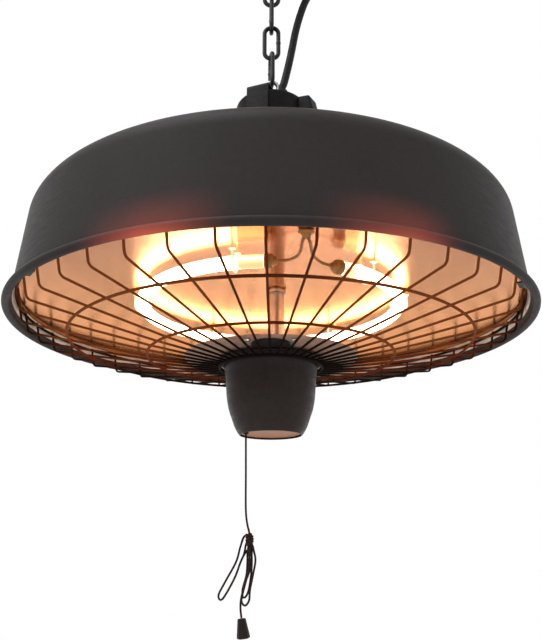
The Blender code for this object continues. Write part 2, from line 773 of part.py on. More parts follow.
def make_strap():
    """Bent from flat bar: feet on the crown, two legs and a top over the cap."""
    middle = CAP_RADIUS + SEAT_GAP + STRAP_THICKNESS / 2
    low = seat_top + SEAT_GAP + STRAP_THICKNESS / 2 - strap_top
    high = -STRAP_THICKNESS / 2
    bend = STRAP_BEND_RADIUS
    half = [Vector((middle + STRAP_FOOT_LENGTH, low))]
    half += on_arc((middle + bend, low + bend), bend, 270, 180, 4)
    half += on_arc((middle - bend, high - bend), bend, 0, 90, 4)
    path = half + [Vector((-point.x, point.y)) for point in reversed(half)]
    outline = beside(path, STRAP_THICKNESS / 2) + list(reversed(beside(path, -STRAP_THICKNESS / 2)))
    bm = bmesh.new()
    face = bm.faces.new([bm.verts.new((-STRAP_WIDTH / 2, point.x, point.y)) for point in outline])
    drawn = bmesh.ops.extrude_face_region(bm, geom=[face])
    raised = [item for item in drawn["geom"] if isinstance(item, bmesh.types.BMVert)]
    bmesh.ops.translate(bm, verts=raised, vec=(STRAP_WIDTH, 0, 0))
    strap = solid("hanger_strap", bm, "dark_enamel", (0, 0, strap_top), smooth=False)
    strap.rotation_euler.z = math.radians(STRAP_YAW_DEG)
    bore(strap, "cut_strap_eye", EYE_SHANK_RADIUS + BORE_GAP, strap_underside, strap_top, (0, 0))
    foot_low = seat_top + SEAT_GAP
    for side in range(2):
        name = f"cut_strap_screw_{side + 1}"
        place = strap_screw_place(side)
        bore(strap, name, STRAP_SCREW_RADIUS + BORE_GAP, foot_low, foot_low + STRAP_THICKNESS, place, 16)
    return strap


def strap_screw_place(side):
    middle = CAP_RADIUS + SEAT_GAP + STRAP_THICKNESS / 2 + STRAP_FOOT_LENGTH / 2 + STRAP_BEND_RADIUS / 2
    return around(STRAP_YAW_DEG + (180 if side else 0), middle, 0)


def make_strap_screw(side):
    """A pan-head screw through a foot of the strap and the crown."""
    foot_top = seat_top + SEAT_GAP + STRAP_THICKNESS
    head_low = foot_top + SEAT_GAP
    tail = seat_top - SHADE_THICKNESS - SEAT_GAP - STRAP_SCREW_HEAD_HEIGHT
    outline = (
        (0, head_low + STRAP_SCREW_HEAD_HEIGHT),
        (STRAP_SCREW_HEAD_RADIUS / 2, head_low + STRAP_SCREW_HEAD_HEIGHT),
        (STRAP_SCREW_HEAD_RADIUS, head_low + STRAP_SCREW_HEAD_HEIGHT / 2),
        (STRAP_SCREW_HEAD_RADIUS, head_low),
        (STRAP_SCREW_RADIUS, head_low),
        (STRAP_SCREW_RADIUS, tail),
        (0, tail),
    )
    return turned(f"strap_screw_{side + 1}", outline, "zinc", strap_screw_place(side), 16)


def make_top_cap():
    inside = CAP_RADIUS - CAP_WALL
    edge = on_arc((CAP_RADIUS - CAP_EDGE_RADIUS, CAP_HEIGHT - CAP_EDGE_RADIUS), CAP_EDGE_RADIUS, 90, 0, 2)
    outline = [(0, CAP_HEIGHT), *edge, (CAP_RADIUS, 0)]
    outline += [(inside, 0), (inside, CAP_HEIGHT - CAP_WALL), (0, CAP_HEIGHT - CAP_WALL)]
    cap = turned("top_cap", outline, "black_plastic", (0, 0, seat_top + SEAT_GAP))
    lug_outline = (
        (inside + CAP_WALL / 2, CAP_HEIGHT),
        (CAP_RADIUS + LUG_TOP_REACH, CAP_HEIGHT),
        (CAP_RADIUS + LUG_REACH, CAP_HEIGHT - LUG_SLOPE_HEIGHT),
        (CAP_RADIUS + LUG_REACH, CAP_HEIGHT - LUG_SLOPE_HEIGHT - LUG_LIP_HEIGHT),
        (inside + CAP_WALL / 2, CAP_HEIGHT - LUG_SLOPE_HEIGHT - LUG_LIP_HEIGHT - LUG_UNDERCUT_HEIGHT),
    )
    lug = extruded("join_cap_lug", lug_outline, LUG_WIDTH, "black_plastic")
    upright = Matrix.Rotation(math.radians(90), 4, "X")
    turn = Matrix.Rotation(math.radians(LUG_TURN_DEG - 90), 4, "Z") @ upright
    lug.data.transform(turn @ Matrix.Translation((0, 0, -LUG_WIDTH / 2)))
    lug.location = (0, 0, seat_top + SEAT_GAP)
    combine(cap, lug, "UNION")
    hole = (CABLE_EXIT_X, CABLE_EXIT_Y)
    bore(cap, "cut_cap_grommet", GROMMET_NECK_RADIUS + BORE_GAP, cap_top - CAP_WALL, cap_top, hole)
    return cap


def make_grommet():
    """The rubber sleeve in the cap's top, with a lip on each side of the wall."""
    inner_lip = -CAP_WALL - SEAT_GAP
    outline = (
        (0, GROMMET_RISE),
        (GROMMET_RADIUS - GROMMET_EDGE, GROMMET_RISE),
        (GROMMET_RADIUS, SEAT_GAP),
        (GROMMET_NECK_RADIUS, SEAT_GAP),
        (GROMMET_NECK_RADIUS, inner_lip),
        (GROMMET_RADIUS, inner_lip),
        (GROMMET_RADIUS - GROMMET_EDGE, inner_lip - GROMMET_LIP),
        (0, inner_lip - GROMMET_LIP),
    )
    return turned("cable_grommet", outline, "black_rubber", (CABLE_EXIT_X, CABLE_EXIT_Y, cap_top), 18)


def make_mains_cable():
    start = Vector((CABLE_EXIT_X, CABLE_EXIT_Y, cap_top + GROMMET_RISE + SEAT_GAP))
    end = Vector((CABLE_TOP_X, CABLE_TOP_Y, -ROSE_THICKNESS - 2 * SEAT_GAP - CABLE_GLAND_HEIGHT))
    stub = Vector((0, 0, CABLE_RADIUS))
    route = [start + stub] + [at_rim(*point) for point in CABLE_ROUTE] + [end - stub]
    points = [start] + smooth_route(route, 4 * CABLE_RADIUS) + [end]
    print(f"mains cable: {route_length(points):.4f} m long")
    return rod("mains_cable", points, CABLE_RADIUS, "black_rubber")


def make_shade():
    """The spun shell: crown, shoulder and wall in one sheet, rolled to a bead at the rim."""
    bead = on_arc(bead_centre, BEAD_RADIUS, BEAD_START_DEG, BEAD_END_DEG, 6)
    outline = list(reversed(shade_line)) + bead + beside(shade_line, SHADE_THICKNESS)
    shade = turned("shade", outline, "dark_enamel", (0, 0, rim_height), ROUND_STEPS)
    low, high = rim_height + seat_height - SHADE_THICKNESS, rim_height + seat_height
    bore(shade, "cut_shade_stem", STEM_RADIUS + BORE_GAP, low, high, (STEM_OFFSET, 0))
    bore(shade, "cut_shade_wires", WIRE_HOLE_RADIUS, low, high, (WIRE_HOLE_X, WIRE_HOLE_Y), 12)
    for side in range(2):
        name = f"cut_shade_screw_{side + 1}"
        bore(shade, name, STRAP_SCREW_RADIUS + BORE_GAP, low, high, strap_screw_place(side), 16)
    return shade


def make_reflector():
    """A parabolic dish with an upturned lip along the shade's wall."""
    reaches = [reflector_radius * step / DISH_STEPS for step in range(DISH_STEPS + 1)]
    face = [Vector((reach, reflector_face(reach))) for reach in reaches]
    lip_top = REFLECTOR_EDGE_HEIGHT + REFLECTOR_LIP
    face.append(Vector((wall_inside(lip_top) - SEAT_GAP, lip_top)))
    outline = beside(face, REFLECTOR_THICKNESS) + list(reversed(face))
    reflector = turned("reflector", outline, "polished_aluminium", (0, 0, rim_height), ROUND_STEPS)
    low, high = rim_height, rim_height + reflector_face(0)
    bore(reflector, "cut_reflector_stem", STEM_RADIUS + BORE_GAP, low, high, (STEM_OFFSET, 0))
    bush, _ = bush_frame()
    bore(reflector, "cut_reflector_leads", WIRING_RADIUS + BORE_GAP, low, high, bush, 12)
    return reflector


def make_heating_tube():
    points = []
    for step in range(TUBE_STEPS + 1):
        turn = TUBE_START_DEG + (TUBE_END_DEG - TUBE_START_DEG) * step / TUBE_STEPS
        points.append(around(turn, TUBE_RING_RADIUS, rim_height + TUBE_HEIGHT))
    right_end, _ = tube_end(0)
    left_end, _ = tube_end(1)
    return rod("heating_tube", [right_end, *points, left_end], TUBE_RADIUS, "quartz")


def tube_end(side):
    """The middle of the tube's end face, past a short straight end, and where it points."""
    turn = TUBE_END_DEG if side else TUBE_START_DEG
    along = around(turn + 90, 1, 0) * (1 if side else -1)
    return around(turn, TUBE_RING_RADIUS, rim_height + TUBE_HEIGHT) + along * TUBE_STRAIGHT_END, along


def make_end_cap(side):
    """The ceramic cap on one end of the tube, stepped down to its lead."""
    place, along = tube_end(side)
    outline = (
        (0, END_CAP_LENGTH),
        (END_CAP_TIP_RADIUS, END_CAP_LENGTH),
        (END_CAP_NECK_RADIUS, END_CAP_LENGTH * END_CAP_BODY_SHARE),
        (END_CAP_RADIUS, END_CAP_LENGTH * END_CAP_BODY_SHARE),
        (END_CAP_RADIUS, 0),
        (0, 0),
    )
    name = "tube_cap_left" if side else "tube_cap_right"
    cap = turned(name, outline, "ceramic", place + along * SEAT_GAP, 16)
    cap.rotation_euler = along.to_track_quat("Z", "Y").to_euler()
    return cap


def bush_frame():
    """The lead bush's place on the reflector and the reflector's normal there, pointing down."""
    inner, outer = LEAD_BUSH_REACH - LEAD_BUSH_RADIUS, LEAD_BUSH_REACH + LEAD_BUSH_RADIUS
    slope = (reflector_face(outer) - reflector_face(inner)) / (outer - inner)
    outward = around(LEAD_BUSH_DEG, 1, 0)
    down = (outward * slope - Vector((0, 0, 1))).normalized()
    face = around(LEAD_BUSH_DEG, LEAD_BUSH_REACH, rim_height + reflector_face(LEAD_BUSH_REACH))
    return face + down * SEAT_GAP, down


def make_lead_bush():
    place, down = bush_frame()
    outline = (
        (0, LEAD_BUSH_HEIGHT),
        (LEAD_BUSH_TIP_RADIUS, LEAD_BUSH_HEIGHT),
        (LEAD_BUSH_RADIUS, LEAD_BUSH_HEIGHT / 2),
        (LEAD_BUSH_RADIUS, 0),
        (0, 0),
    )
    bush = turned("lead_bush", outline, "ceramic", place, 16)
    bush.rotation_euler = down.to_track_quat("Z", "Y").to_euler()
    return bush


def make_lead(side):
    """A sleeved wire that curves from a tube cap up to the bush in the reflector."""
    place, along = tube_end(side)
    start = place + along * (END_CAP_LENGTH + 2 * SEAT_GAP)
    bush, down = bush_frame()
    across = around(LEAD_BUSH_DEG + 90, 1, 0) * (-LEAD_SPREAD if side else LEAD_SPREAD)
    end = bush + down * (LEAD_BUSH_HEIGHT + 2 * SEAT_GAP) + across
    a, b, c, d = start, start + along * LEAD_RUN, end + down * LEAD_FALL, end
    points = []
    for step in range(LEAD_STEPS + 1):
        t = step / LEAD_STEPS
        s = 1 - t
        points.append(s**3 * a + 3 * s * s * t * b + 3 * s * t * t * c + t**3 * d)
    name = "tube_lead_left" if side else "tube_lead_right"
    return rod(name, points, LEAD_RADIUS, "wire_sleeve", resolution=1)


def make_tube_clip(index):
    """A wire hairpin that hangs from the reflector and carries the tube."""
    bend = TUBE_RADIUS + CLIP_CLEARANCE + CLIP_WIRE_RADIUS
    path = []
    for step in range(CLIP_BEND_STEPS + 1):
        angle = math.radians(180 + 180 * step / CLIP_BEND_STEPS)
        path.append((TUBE_RING_RADIUS + bend * math.cos(angle), TUBE_HEIGHT + bend * math.sin(angle)))
    ends = [TUBE_RING_RADIUS - bend, TUBE_RING_RADIUS + bend]
    heights = [reflector_face(reach + CLIP_WIRE_RADIUS) - SEAT_GAP for reach in ends]
    path = [(ends[0], heights[0])] + path + [(ends[1], heights[1])]
    turn = CLIP_ANGLES_DEG[index]
    points = [around(turn, reach, rim_height + height) for reach, height in path]
    return rod(f"tube_clip_{index + 1}", points, CLIP_WIRE_RADIUS, "zinc", resolution=1)


def make_stem():
    """The polished tube down the middle, which carries the shield and the cup."""
    low = rim_height + bracket_underside - STEM_NUT_HEIGHT
    high = seat_top + STEM_TOP_REACH
    outline = (
        (STEM_BORE_RADIUS, high),
        (STEM_RADIUS, high),
        (STEM_RADIUS, low),
        (STEM_BORE_RADIUS, low),
    )
    return turned("centre_tube", outline, "polished_aluminium", (STEM_OFFSET, 0, 0), SMALL_ROUND_STEPS)


def make_stem_nuts():
    shield_top = rim_height + SHIELD_HEIGHT + SHIELD_THICKNESS
    reflector_low = rim_height + reflector_face(2 * STEM_NUT_RADIUS)
    lows = {
        "stem_nut_crown_top": seat_top + SEAT_GAP,
        "stem_nut_crown_low": seat_top - SHADE_THICKNESS - SEAT_GAP - STEM_NUT_HEIGHT,
        "stem_nut_reflector": reflector_low - SEAT_GAP - STEM_NUT_HEIGHT / 2,
        "stem_nut_shield": shield_top + SEAT_GAP,
        "stem_nut_cup": rim_height + bracket_underside - SEAT_GAP - STEM_NUT_HEIGHT,
    }
    nuts = []
    for name, low in lows.items():
        height = STEM_NUT_HEIGHT / 2 if name == "stem_nut_reflector" else STEM_NUT_HEIGHT
        nuts.append(nut(name, STEM_NUT_RADIUS, STEM_RADIUS + BORE_GAP, height, "zinc", (STEM_OFFSET, 0, low)))
    return nuts


def make_shield():
    outline = (
        (0, SHIELD_HEIGHT + SHIELD_THICKNESS),
        (SHIELD_RADIUS, SHIELD_HEIGHT + SHIELD_THICKNESS),
        (SHIELD_RADIUS, SHIELD_HEIGHT),
        (0, SHIELD_HEIGHT),
    )
    shield = turned("shield_plate", outline, "dark_enamel", (0, 0, rim_height))
    low = rim_height + SHIELD_HEIGHT
    bore(shield, "cut_shield_stem", STEM_RADIUS + BORE_GAP, low, low + SHIELD_THICKNESS, (STEM_OFFSET, 0))
    return shield


def make_bracket():
    """A flat bar with round ends under the shield, from which the cup hangs."""
    end_radius = BRACKET_WIDTH / 2
    half = BRACKET_LENGTH / 2 - end_radius
    outline = on_arc((0, half), end_radius, 0, 180, BRACKET_END_STEPS)
    outline += on_arc((0, -half), end_radius, 180, 360, BRACKET_END_STEPS)
    low = rim_height + bracket_underside
    bracket = extruded("cup_bracket", outline, BRACKET_THICKNESS, "black_steel", (0, 0, low))
    bore(bracket, "cut_bracket_stem", STEM_RADIUS + BORE_GAP, low, low + BRACKET_THICKNESS, (STEM_OFFSET, 0))
    return bracket


def guard_height(reach):
    """Height of the guard's wires above the rim's plane, inside their outer bend."""
    for outer, inner in zip(guard_line[1:], guard_line[2:]):
        if inner[0] <= reach <= outer[0]:
            return inner[1] + (outer[1] - inner[1]) * (reach - inner[0]) / (outer[0] - inner[0])
    return GUARD_END_HEIGHT


def make_guard():
    """Radial wires laid over four rings and welded to them where they cross."""
    wires = bmesh.new()
    for index in range(GUARD_WIRE_COUNT):
        turn = GUARD_FIRST_WIRE_DEG + 360 * index / GUARD_WIRE_COUNT
        path = [around(turn, reach, height) for reach, height in guard_line]
        add_tube(wires, path, [around(turn + 90, 1, 0)] * len(path), GUARD_WIRE_RADIUS, GUARD_WIRE_SIDES)
    guard = solid("wire_guard", wires, "guard_steel", (0, 0, rim_height), smooth=False)

    # A ring's corners lie between two wires, so its straight sides have the ring's radius
    wire_step = 360 / GUARD_WIRE_COUNT
    corner_turns = [GUARD_FIRST_WIRE_DEG + (index + 0.5) * wire_step for index in range(GUARD_WIRE_COUNT)]
    outward = [around(turn, 1, 0) for turn in corner_turns]
    corner_share = 1 / math.cos(math.pi / GUARD_WIRE_COUNT)
    ring_places = [(guard_ring_radius, GUARD_RIM_HEIGHT)]
    end_ring_radius = GUARD_END_RADIUS + GUARD_RING_WIRE_RADIUS / 2
    for reach in (guard_outer_ring_radius, GUARD_INNER_RING_RADIUS, end_ring_radius):
        ring_places.append((reach, guard_height(reach) - guard_offset))
    rings = bmesh.new()
    for reach, height in ring_places:
        path = [around(turn, reach * corner_share, height) for turn in corner_turns]
        add_tube(rings, path, outward, GUARD_RING_WIRE_RADIUS, GUARD_WIRE_SIDES, cyclic=True)
    hoops = solid("join_guard_rings", rings, "guard_steel", (0, 0, rim_height), smooth=False)
    combine(guard, hoops, "UNION")
    return guard


def make_guard_clip(index):
    """A tab on the shade's wall, between two wires, that carries the guard's outer ring.

    It lies flat on the facet of the wall that is nearest to the middle between two wires.
    """
    wire_step = 360 / GUARD_WIRE_COUNT
    nearest = round((index + 0.5) * GUARD_WIRE_COUNT / GUARD_CLIP_COUNT)
    between = GUARD_FIRST_WIRE_DEG + (nearest + 0.5) * wire_step
    facet_deg = 360 / ROUND_STEPS
    turn = (math.floor(between / facet_deg) + 0.5) * facet_deg
    top = GUARD_RIM_HEIGHT - GUARD_RING_WIRE_RADIUS - SEAT_GAP
    back = wall_inside(top) * math.cos(math.pi / ROUND_STEPS) - SEAT_GAP
    outline = (
        (back, top),
        (back - GUARD_CLIP_REACH, top),
        (back - GUARD_CLIP_REACH, top - GUARD_CLIP_THICKNESS),
        (back - GUARD_CLIP_THICKNESS, top - GUARD_CLIP_THICKNESS),
        (back - GUARD_CLIP_THICKNESS, top - GUARD_CLIP_LEG),
        (back, top - GUARD_CLIP_LEG),
    )
    clip = extruded(f"guard_clip_{index + 1}", outline, GUARD_CLIP_WIDTH, "zinc", (0, 0, rim_height))
    spin = Matrix.Rotation(math.radians(turn - 90), 4, "Z") @ Matrix.Rotation(math.radians(90), 4, "X")
    clip.data.transform(spin @ Matrix.Translation((0, 0, -GUARD_CLIP_WIDTH / 2)))
    return clip


def cup_outline():
    """The cup's outer side as (r, z) from the rim's plane, from its mouth down."""
    spread = CUP_TOP_RADIUS - CUP_BASE_RADIUS
    return [
        Vector((CUP_BASE_RADIUS + spread * out, cup_top - CUP_DEPTH * down))
        for out, down in CUP_OUTLINE_SHARES
    ]


def make_cup():
    side = cup_outline()
    inside = beside(side, -CUP_WALL)
    inside[-1] = Vector((inside[-1].x, side[-1].y))
    inside[0] = Vector((inside[0].x, side[0].y))
    flange = [
        Vector((cup_flange_radius, cup_top)),
        Vector((cup_flange_radius, cup_flange_low)),
        Vector((CUP_TOP_RADIUS - CUP_WALL * CUP_FLANGE_LAP_SHARE, cup_flange_low)),
    ]
    outline = flange + side[1:] + list(reversed(inside))
    return turned("switch_cup", outline, "dark_enamel", (0, 0, rim_height), CUP_STEPS)


def cup_inside(height):
    """Radius of the cup's inner face at a height, between two points of its outline."""
    inside = beside(cup_outline(), -CUP_WALL)
    for upper, lower in zip(inside, inside[1:]):
        if lower.y <= height <= upper.y:
            return lower.x + (upper.x - lower.x) * (height - lower.y) / (upper.y - lower.y)
    return inside[-1].x


def make_cup_base():
    radius = cup_inside(cup_base) - SEAT_GAP
    outline = ((0, base_top), (radius, base_top), (radius, cup_base), (0, cup_base))
    base = turned("cup_base", outline, "satin_base", (0, 0, rim_height), CUP_STEPS)
    low = rim_height + cup_base
    bore(base, "cut_base_bush", BUSH_RADIUS + BORE_GAP, low, low + BASE_THICKNESS, (CORD_OUT_X, CORD_OUT_Y), 12)
    return base


def make_cord_bush():
    top = base_top + SEAT_GAP + BUSH_FLANGE
    outline = (
        (BUSH_BORE_RADIUS, top),
        (BUSH_FLANGE_RADIUS, top),
        (BUSH_FLANGE_RADIUS, base_top + SEAT_GAP),
        (BUSH_RADIUS, base_top + SEAT_GAP),
        (BUSH_RADIUS, cup_base),
        (BUSH_BORE_RADIUS, cup_base),
    )
    return turned("cord_bush", outline, "black_plastic", (CORD_OUT_X, CORD_OUT_Y, rim_height), 12)


def make_switch_body():
    """The pull switch: a moulded block with an open channel for its slider."""
    middle_x = switch_face + SWITCH_LENGTH / 2
    size = (SWITCH_LENGTH, SWITCH_WIDTH, SWITCH_HEIGHT)
    body = block("switch_body", size, "white_plastic", at_rim(middle_x, CORD_OUT_Y, switch_low))
    width = SLIDER_WIDTH + 2 * SLIDER_PLAY
    depth = SLIDER_DEPTH + SLIDER_PLAY
    channel_low = switch_low + CHANNEL_FLOOR
    channel_size = (depth + CUT_OVERRUN, width, SWITCH_HEIGHT)
    middle = at_rim(switch_face + (depth - CUT_OVERRUN) / 2, CORD_OUT_Y, channel_low)
    combine(body, block("cut_switch_channel", channel_size, "zinc", middle), "DIFFERENCE")
    return body


def make_switch_slider():
    """The slider in the switch's channel, with an arm that the cord pulls down."""
    size = (SLIDER_DEPTH - SLIDER_PLAY, SLIDER_WIDTH, SLIDER_HEIGHT)
    slider_x = switch_face + SLIDER_DEPTH / 2 - SLIDER_PLAY / 2
    slider = block("switch_slider", size, "black_plastic", at_rim(slider_x, CORD_OUT_Y, slider_low))
    arm_size = (SLIDER_ARM_REACH + SLIDER_DEPTH / 2, SLIDER_ARM_WIDTH, SLIDER_ARM_HEIGHT)
    arm_x = switch_face + SLIDER_DEPTH / 2 - arm_size[0] / 2
    arm = block("join_slider_arm", arm_size, "black_plastic", at_rim(arm_x, CORD_OUT_Y, arm_low))
    combine(slider, arm, "UNION")
    return slider


def make_return_spring():
    """The spring under the slider, wound by a formula from its two end faces."""
    low = rim_height + switch_low + CHANNEL_FLOOR + SEAT_GAP + SPRING_WIRE_RADIUS
    high = rim_height + slider_low - SEAT_GAP - SPRING_WIRE_RADIUS
    steps = 9 * SPRING_TURNS
    points = []
    for step in range(steps + 1):
        angle = math.tau * SPRING_TURNS * step / steps
        level = low + (high - low) * step / steps
        points.append((SPRING_RADIUS * math.cos(angle), SPRING_RADIUS * math.sin(angle), level))
    middle = switch_face + SLIDER_DEPTH / 2
    return rod("return_spring", points, SPRING_WIRE_RADIUS, "zinc", (middle, CORD_OUT_Y, 0), resolution=1)


def terminal_pole(index):
    """The middle of a pole's top, just clear of it."""
    x = TERMINAL_LENGTH * ((index + 0.5) / TERMINAL_POLES - 0.5)
    top = seat_top + SEAT_GAP + TERMINAL_HEIGHT + TERMINAL_POLE_HEIGHT
    return Vector((x, TERMINAL_OFFSET, top + SEAT_GAP))


def make_terminal_block():
    """A row of moulded poles on a base that lies on the crown."""
    low = seat_top + SEAT_GAP
    size = (TERMINAL_LENGTH, TERMINAL_WIDTH, TERMINAL_HEIGHT)
    terminal = block("terminal_block", size, "white_plastic", (0, TERMINAL_OFFSET, low))
    outline = (
        (0, TERMINAL_HEIGHT + TERMINAL_POLE_HEIGHT),
        (TERMINAL_POLE_RADIUS, TERMINAL_HEIGHT + TERMINAL_POLE_HEIGHT),
        (TERMINAL_POLE_RADIUS, TERMINAL_HEIGHT / 2),
        (0, TERMINAL_HEIGHT / 2),
    )
    for index in range(TERMINAL_POLES):
        place = (terminal_pole(index).x, TERMINAL_OFFSET, low)
        pole = turned(f"join_pole_{index + 1}", outline, "white_plastic", place, 12)
        combine(terminal, pole, "UNION")
    return terminal


def make_inner_cable():
    """The cable's end inside the cap, from the grommet to the terminal block."""
    start = Vector((CABLE_EXIT_X, CABLE_EXIT_Y, cap_top - CAP_WALL - GROMMET_LIP - 2 * SEAT_GAP))
    end = terminal_pole(TERMINAL_POLES // 2)
    fall = Vector((0, 0, WIRING_CLEARANCE))
    route = (
        start - fall,
        start.lerp(end, ARCH_START_SHARE) - 2 * fall,
        start.lerp(end, ARCH_END_SHARE) + 2 * fall,
        end + fall,
    )
    points = [start] + smooth_route(route, 3 * WIRING_RADIUS) + [end]
    return rod("inner_cable", points, WIRING_RADIUS, "black_rubber", resolution=1)


def make_reflector_wiring():
    """The wires from the terminal block through the crown and the reflector to the lead bush."""
    start = terminal_pole(0)
    hole = Vector((WIRE_HOLE_X, WIRE_HOLE_Y, seat_top))
    bush, down = bush_frame()
    end = bush - down * SEAT_GAP
    over = end - down * WIRING_CLEARANCE
    rise = Vector((0, 0, WIRING_CLEARANCE))
    below = hole - 2 * rise
    route = (
        start + rise,
        start.lerp(hole, ARCH_START_SHARE) + 2 * rise,
        start.lerp(hole, CROWN_ARCH_END_SHARE) + 2 * rise,
        hole + rise,
        hole - Vector((0, 0, SHADE_THICKNESS)),
        below,
        below.lerp(over, ARCH_START_SHARE),
        below.lerp(over, ARCH_END_SHARE) + 2 * rise,
        over,
    )
    points = [start] + smooth_route(route, 5 * WIRING_RADIUS) + [end]
    return rod("reflector_wiring", points, WIRING_RADIUS, "wire_sleeve", resolution=1)


def make_switch_wiring():
    """The wires from the terminal block down the centre tube to the switch in the cup."""
    start = terminal_pole(TERMINAL_POLES - 1)
    rise = Vector((0, 0, WIRING_CLEARANCE))
    mouth = Vector((STEM_OFFSET, 0, seat_top + STEM_TOP_REACH))
    end = Vector((STEM_OFFSET, 0, rim_height + switch_top + SEAT_GAP))
    route = (
        start + rise,
        start.lerp(mouth, STEM_ARCH_START_SHARE) + 2 * rise,
        start.lerp(mouth, ARCH_END_SHARE) + 2 * rise,
        mouth,
        mouth - rise,
    )
    points = [start] + smooth_route(route, 2 * WIRING_RADIUS) + [end]
    return rod("switch_wiring", points, WIRING_RADIUS, "wire_sleeve", resolution=1)


def make_pull_cord():
    start = at_rim(CORD_OUT_X, CORD_OUT_Y, arm_low - SEAT_GAP)
    bush = at_rim(CORD_OUT_X, CORD_OUT_Y, cup_base)
    route = [start, bush] + [knot_place + Vector(point) for point in CORD_ROUTE]
    return rod("pull_cord", smooth_route(route, 6 * CORD_RADIUS), CORD_RADIUS, "cord_fabric")


def make_cord_knot():
    outline = [(KNOT_RADIUS * out, KNOT_HEIGHT * up) for out, up in KNOT_OUTLINE_SHARES]
    return turned("cord_knot", outline, "cord_fabric", knot_place, 12)


def least_gap(points, radius, skip):
    """The least clear distance between stretches of one tube that aren't neighbours."""
    least = math.inf
    for index, point in enumerate(points):
        for other in points[index + skip :]:
            least = min(least, (other - point).length - 2 * radius)
    return least


def make_cord_loops():
    """The spare cord, gathered in three hanging loops under the knot as one tube."""
    route = [knot_place + Vector(point) for point in LOOPS_ROUTE]
    points = smooth_route(route, 4.25 * CORD_RADIUS)
    fine = smooth_route(route, CORD_RADIUS / 2)
    print(f"pull cord loops: {route_length(fine):.4f} m long")
    print(f"pull cord loops: least gap to itself {1000 * least_gap(fine, CORD_RADIUS, 16):.2f} mm")
    return rod("cord_loops", points, CORD_RADIUS, "cord_fabric", resolution=1)


def make_cord_tail():
    route = [knot_place + Vector(point) for point in TAIL_ROUTE]
    return rod("cord_tail", smooth_route(route, 5 * CORD_RADIUS), CORD_RADIUS, "cord_fabric")


def make_pull_knob():
    """The moulded weight at the cord's end, tapered and leaning with the cord."""
    outline = (
        (0, 0),
        (KNOB_TOP_RADIUS - KNOB_EDGE, 0),
        (KNOB_TOP_RADIUS, -KNOB_EDGE),
        (KNOB_LOW_RADIUS, KNOB_EDGE - KNOB_HEIGHT),
        (KNOB_LOW_RADIUS - KNOB_EDGE, -KNOB_HEIGHT),
        (0, -KNOB_HEIGHT),
    )
    lean = math.radians(KNOB_LEAN_DEG)
    along = Vector((math.sin(lean), 0, -math.cos(lean)))
    place = knot_place + Vector(TAIL_ROUTE[-1]) + along * SEAT_GAP
    knob = turned("pull_knob", outline, "black_plastic", place, 16)
    knob.rotation_euler.y = -lean
    return knob


def build():
    make_ceiling_rose()
    make_ceiling_hook()
    hook_nut_low = -ROSE_THICKNESS - ROSE_BOSS_HEIGHT - SEAT_GAP - HOOK_NUT_HEIGHT
    hook_bore = HOOK_ROD_RADIUS + BORE_GAP
    nut("hook_nut", HOOK_NUT_RADIUS, hook_bore, HOOK_NUT_HEIGHT, "zinc", (0, 0, hook_nut_low))
    make_ceiling_gland()

    carrier = None
    swing_height = hook_height
    for index in range(LINK_COUNT):
        carrier = pivot(f"link_{index + 1}_pivot", (0, 0, swing_height), carrier)
        hang(carrier, make_link(index))
        low_wire = LINK_INNER_LENGTH / 2 + LINK_WIRE_RADIUS
        swing_height = first_link_height - index * link_pitch - low_wire

    heater = pivot("heater_pivot", (0, 0, last_wire_height), carrier)
    hang(heater, make_eye_bolt(), make_strap(), make_top_cap(), make_grommet(), make_mains_cable())
    bore_radius = EYE_SHANK_RADIUS + BORE_GAP
    top_nut = (0, 0, strap_top + SEAT_GAP)
    low_nut = (0, 0, strap_underside - SEAT_GAP - EYE_LOW_NUT_HEIGHT)
    for name, height, place in (
        ("eye_nut_top", EYE_TOP_NUT_HEIGHT, top_nut),
        ("eye_nut_low", EYE_LOW_NUT_HEIGHT, low_nut),
    ):
        hang(heater, nut(name, EYE_NUT_RADIUS, bore_radius, height, "zinc", place))
    hang(heater, *(make_strap_screw(side) for side in range(2)))
    hang(heater, make_shade(), make_reflector(), make_heating_tube(), make_lead_bush())
    hang(heater, *(make_end_cap(side) for side in range(2)))
    hang(heater, *(make_lead(side) for side in range(2)))
    hang(heater, *(make_tube_clip(index) for index in range(len(CLIP_ANGLES_DEG))))
    hang(heater, make_stem(), make_shield(), make_bracket(), *make_stem_nuts())
    hang(heater, make_guard(), *(make_guard_clip(index) for index in range(GUARD_CLIP_COUNT)))
    hang(heater, make_cup(), make_cup_base(), make_cord_bush(), make_switch_body())
    hang(heater, make_terminal_block(), make_inner_cable(), make_reflector_wiring(), make_switch_wiring())

    pull = pivot("pull_pivot", at_rim(CORD_OUT_X, CORD_OUT_Y, arm_low), heater)
    hang(pull, make_switch_slider(), make_return_spring(), make_pull_cord(), make_cord_knot())
    hang(pull, make_cord_loops(), make_cord_tail(), make_pull_knob())
    print(f"rim plane at {rim_height:.4f} m, seat {seat_height:.4f} m above it")


build()
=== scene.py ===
# Hanging patio heater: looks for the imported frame.
# Metres, +Z up, the origin on the ceiling; the heater's front looks along -Y.

import math

import bmesh
import bpy
from mathutils import Matrix, Vector


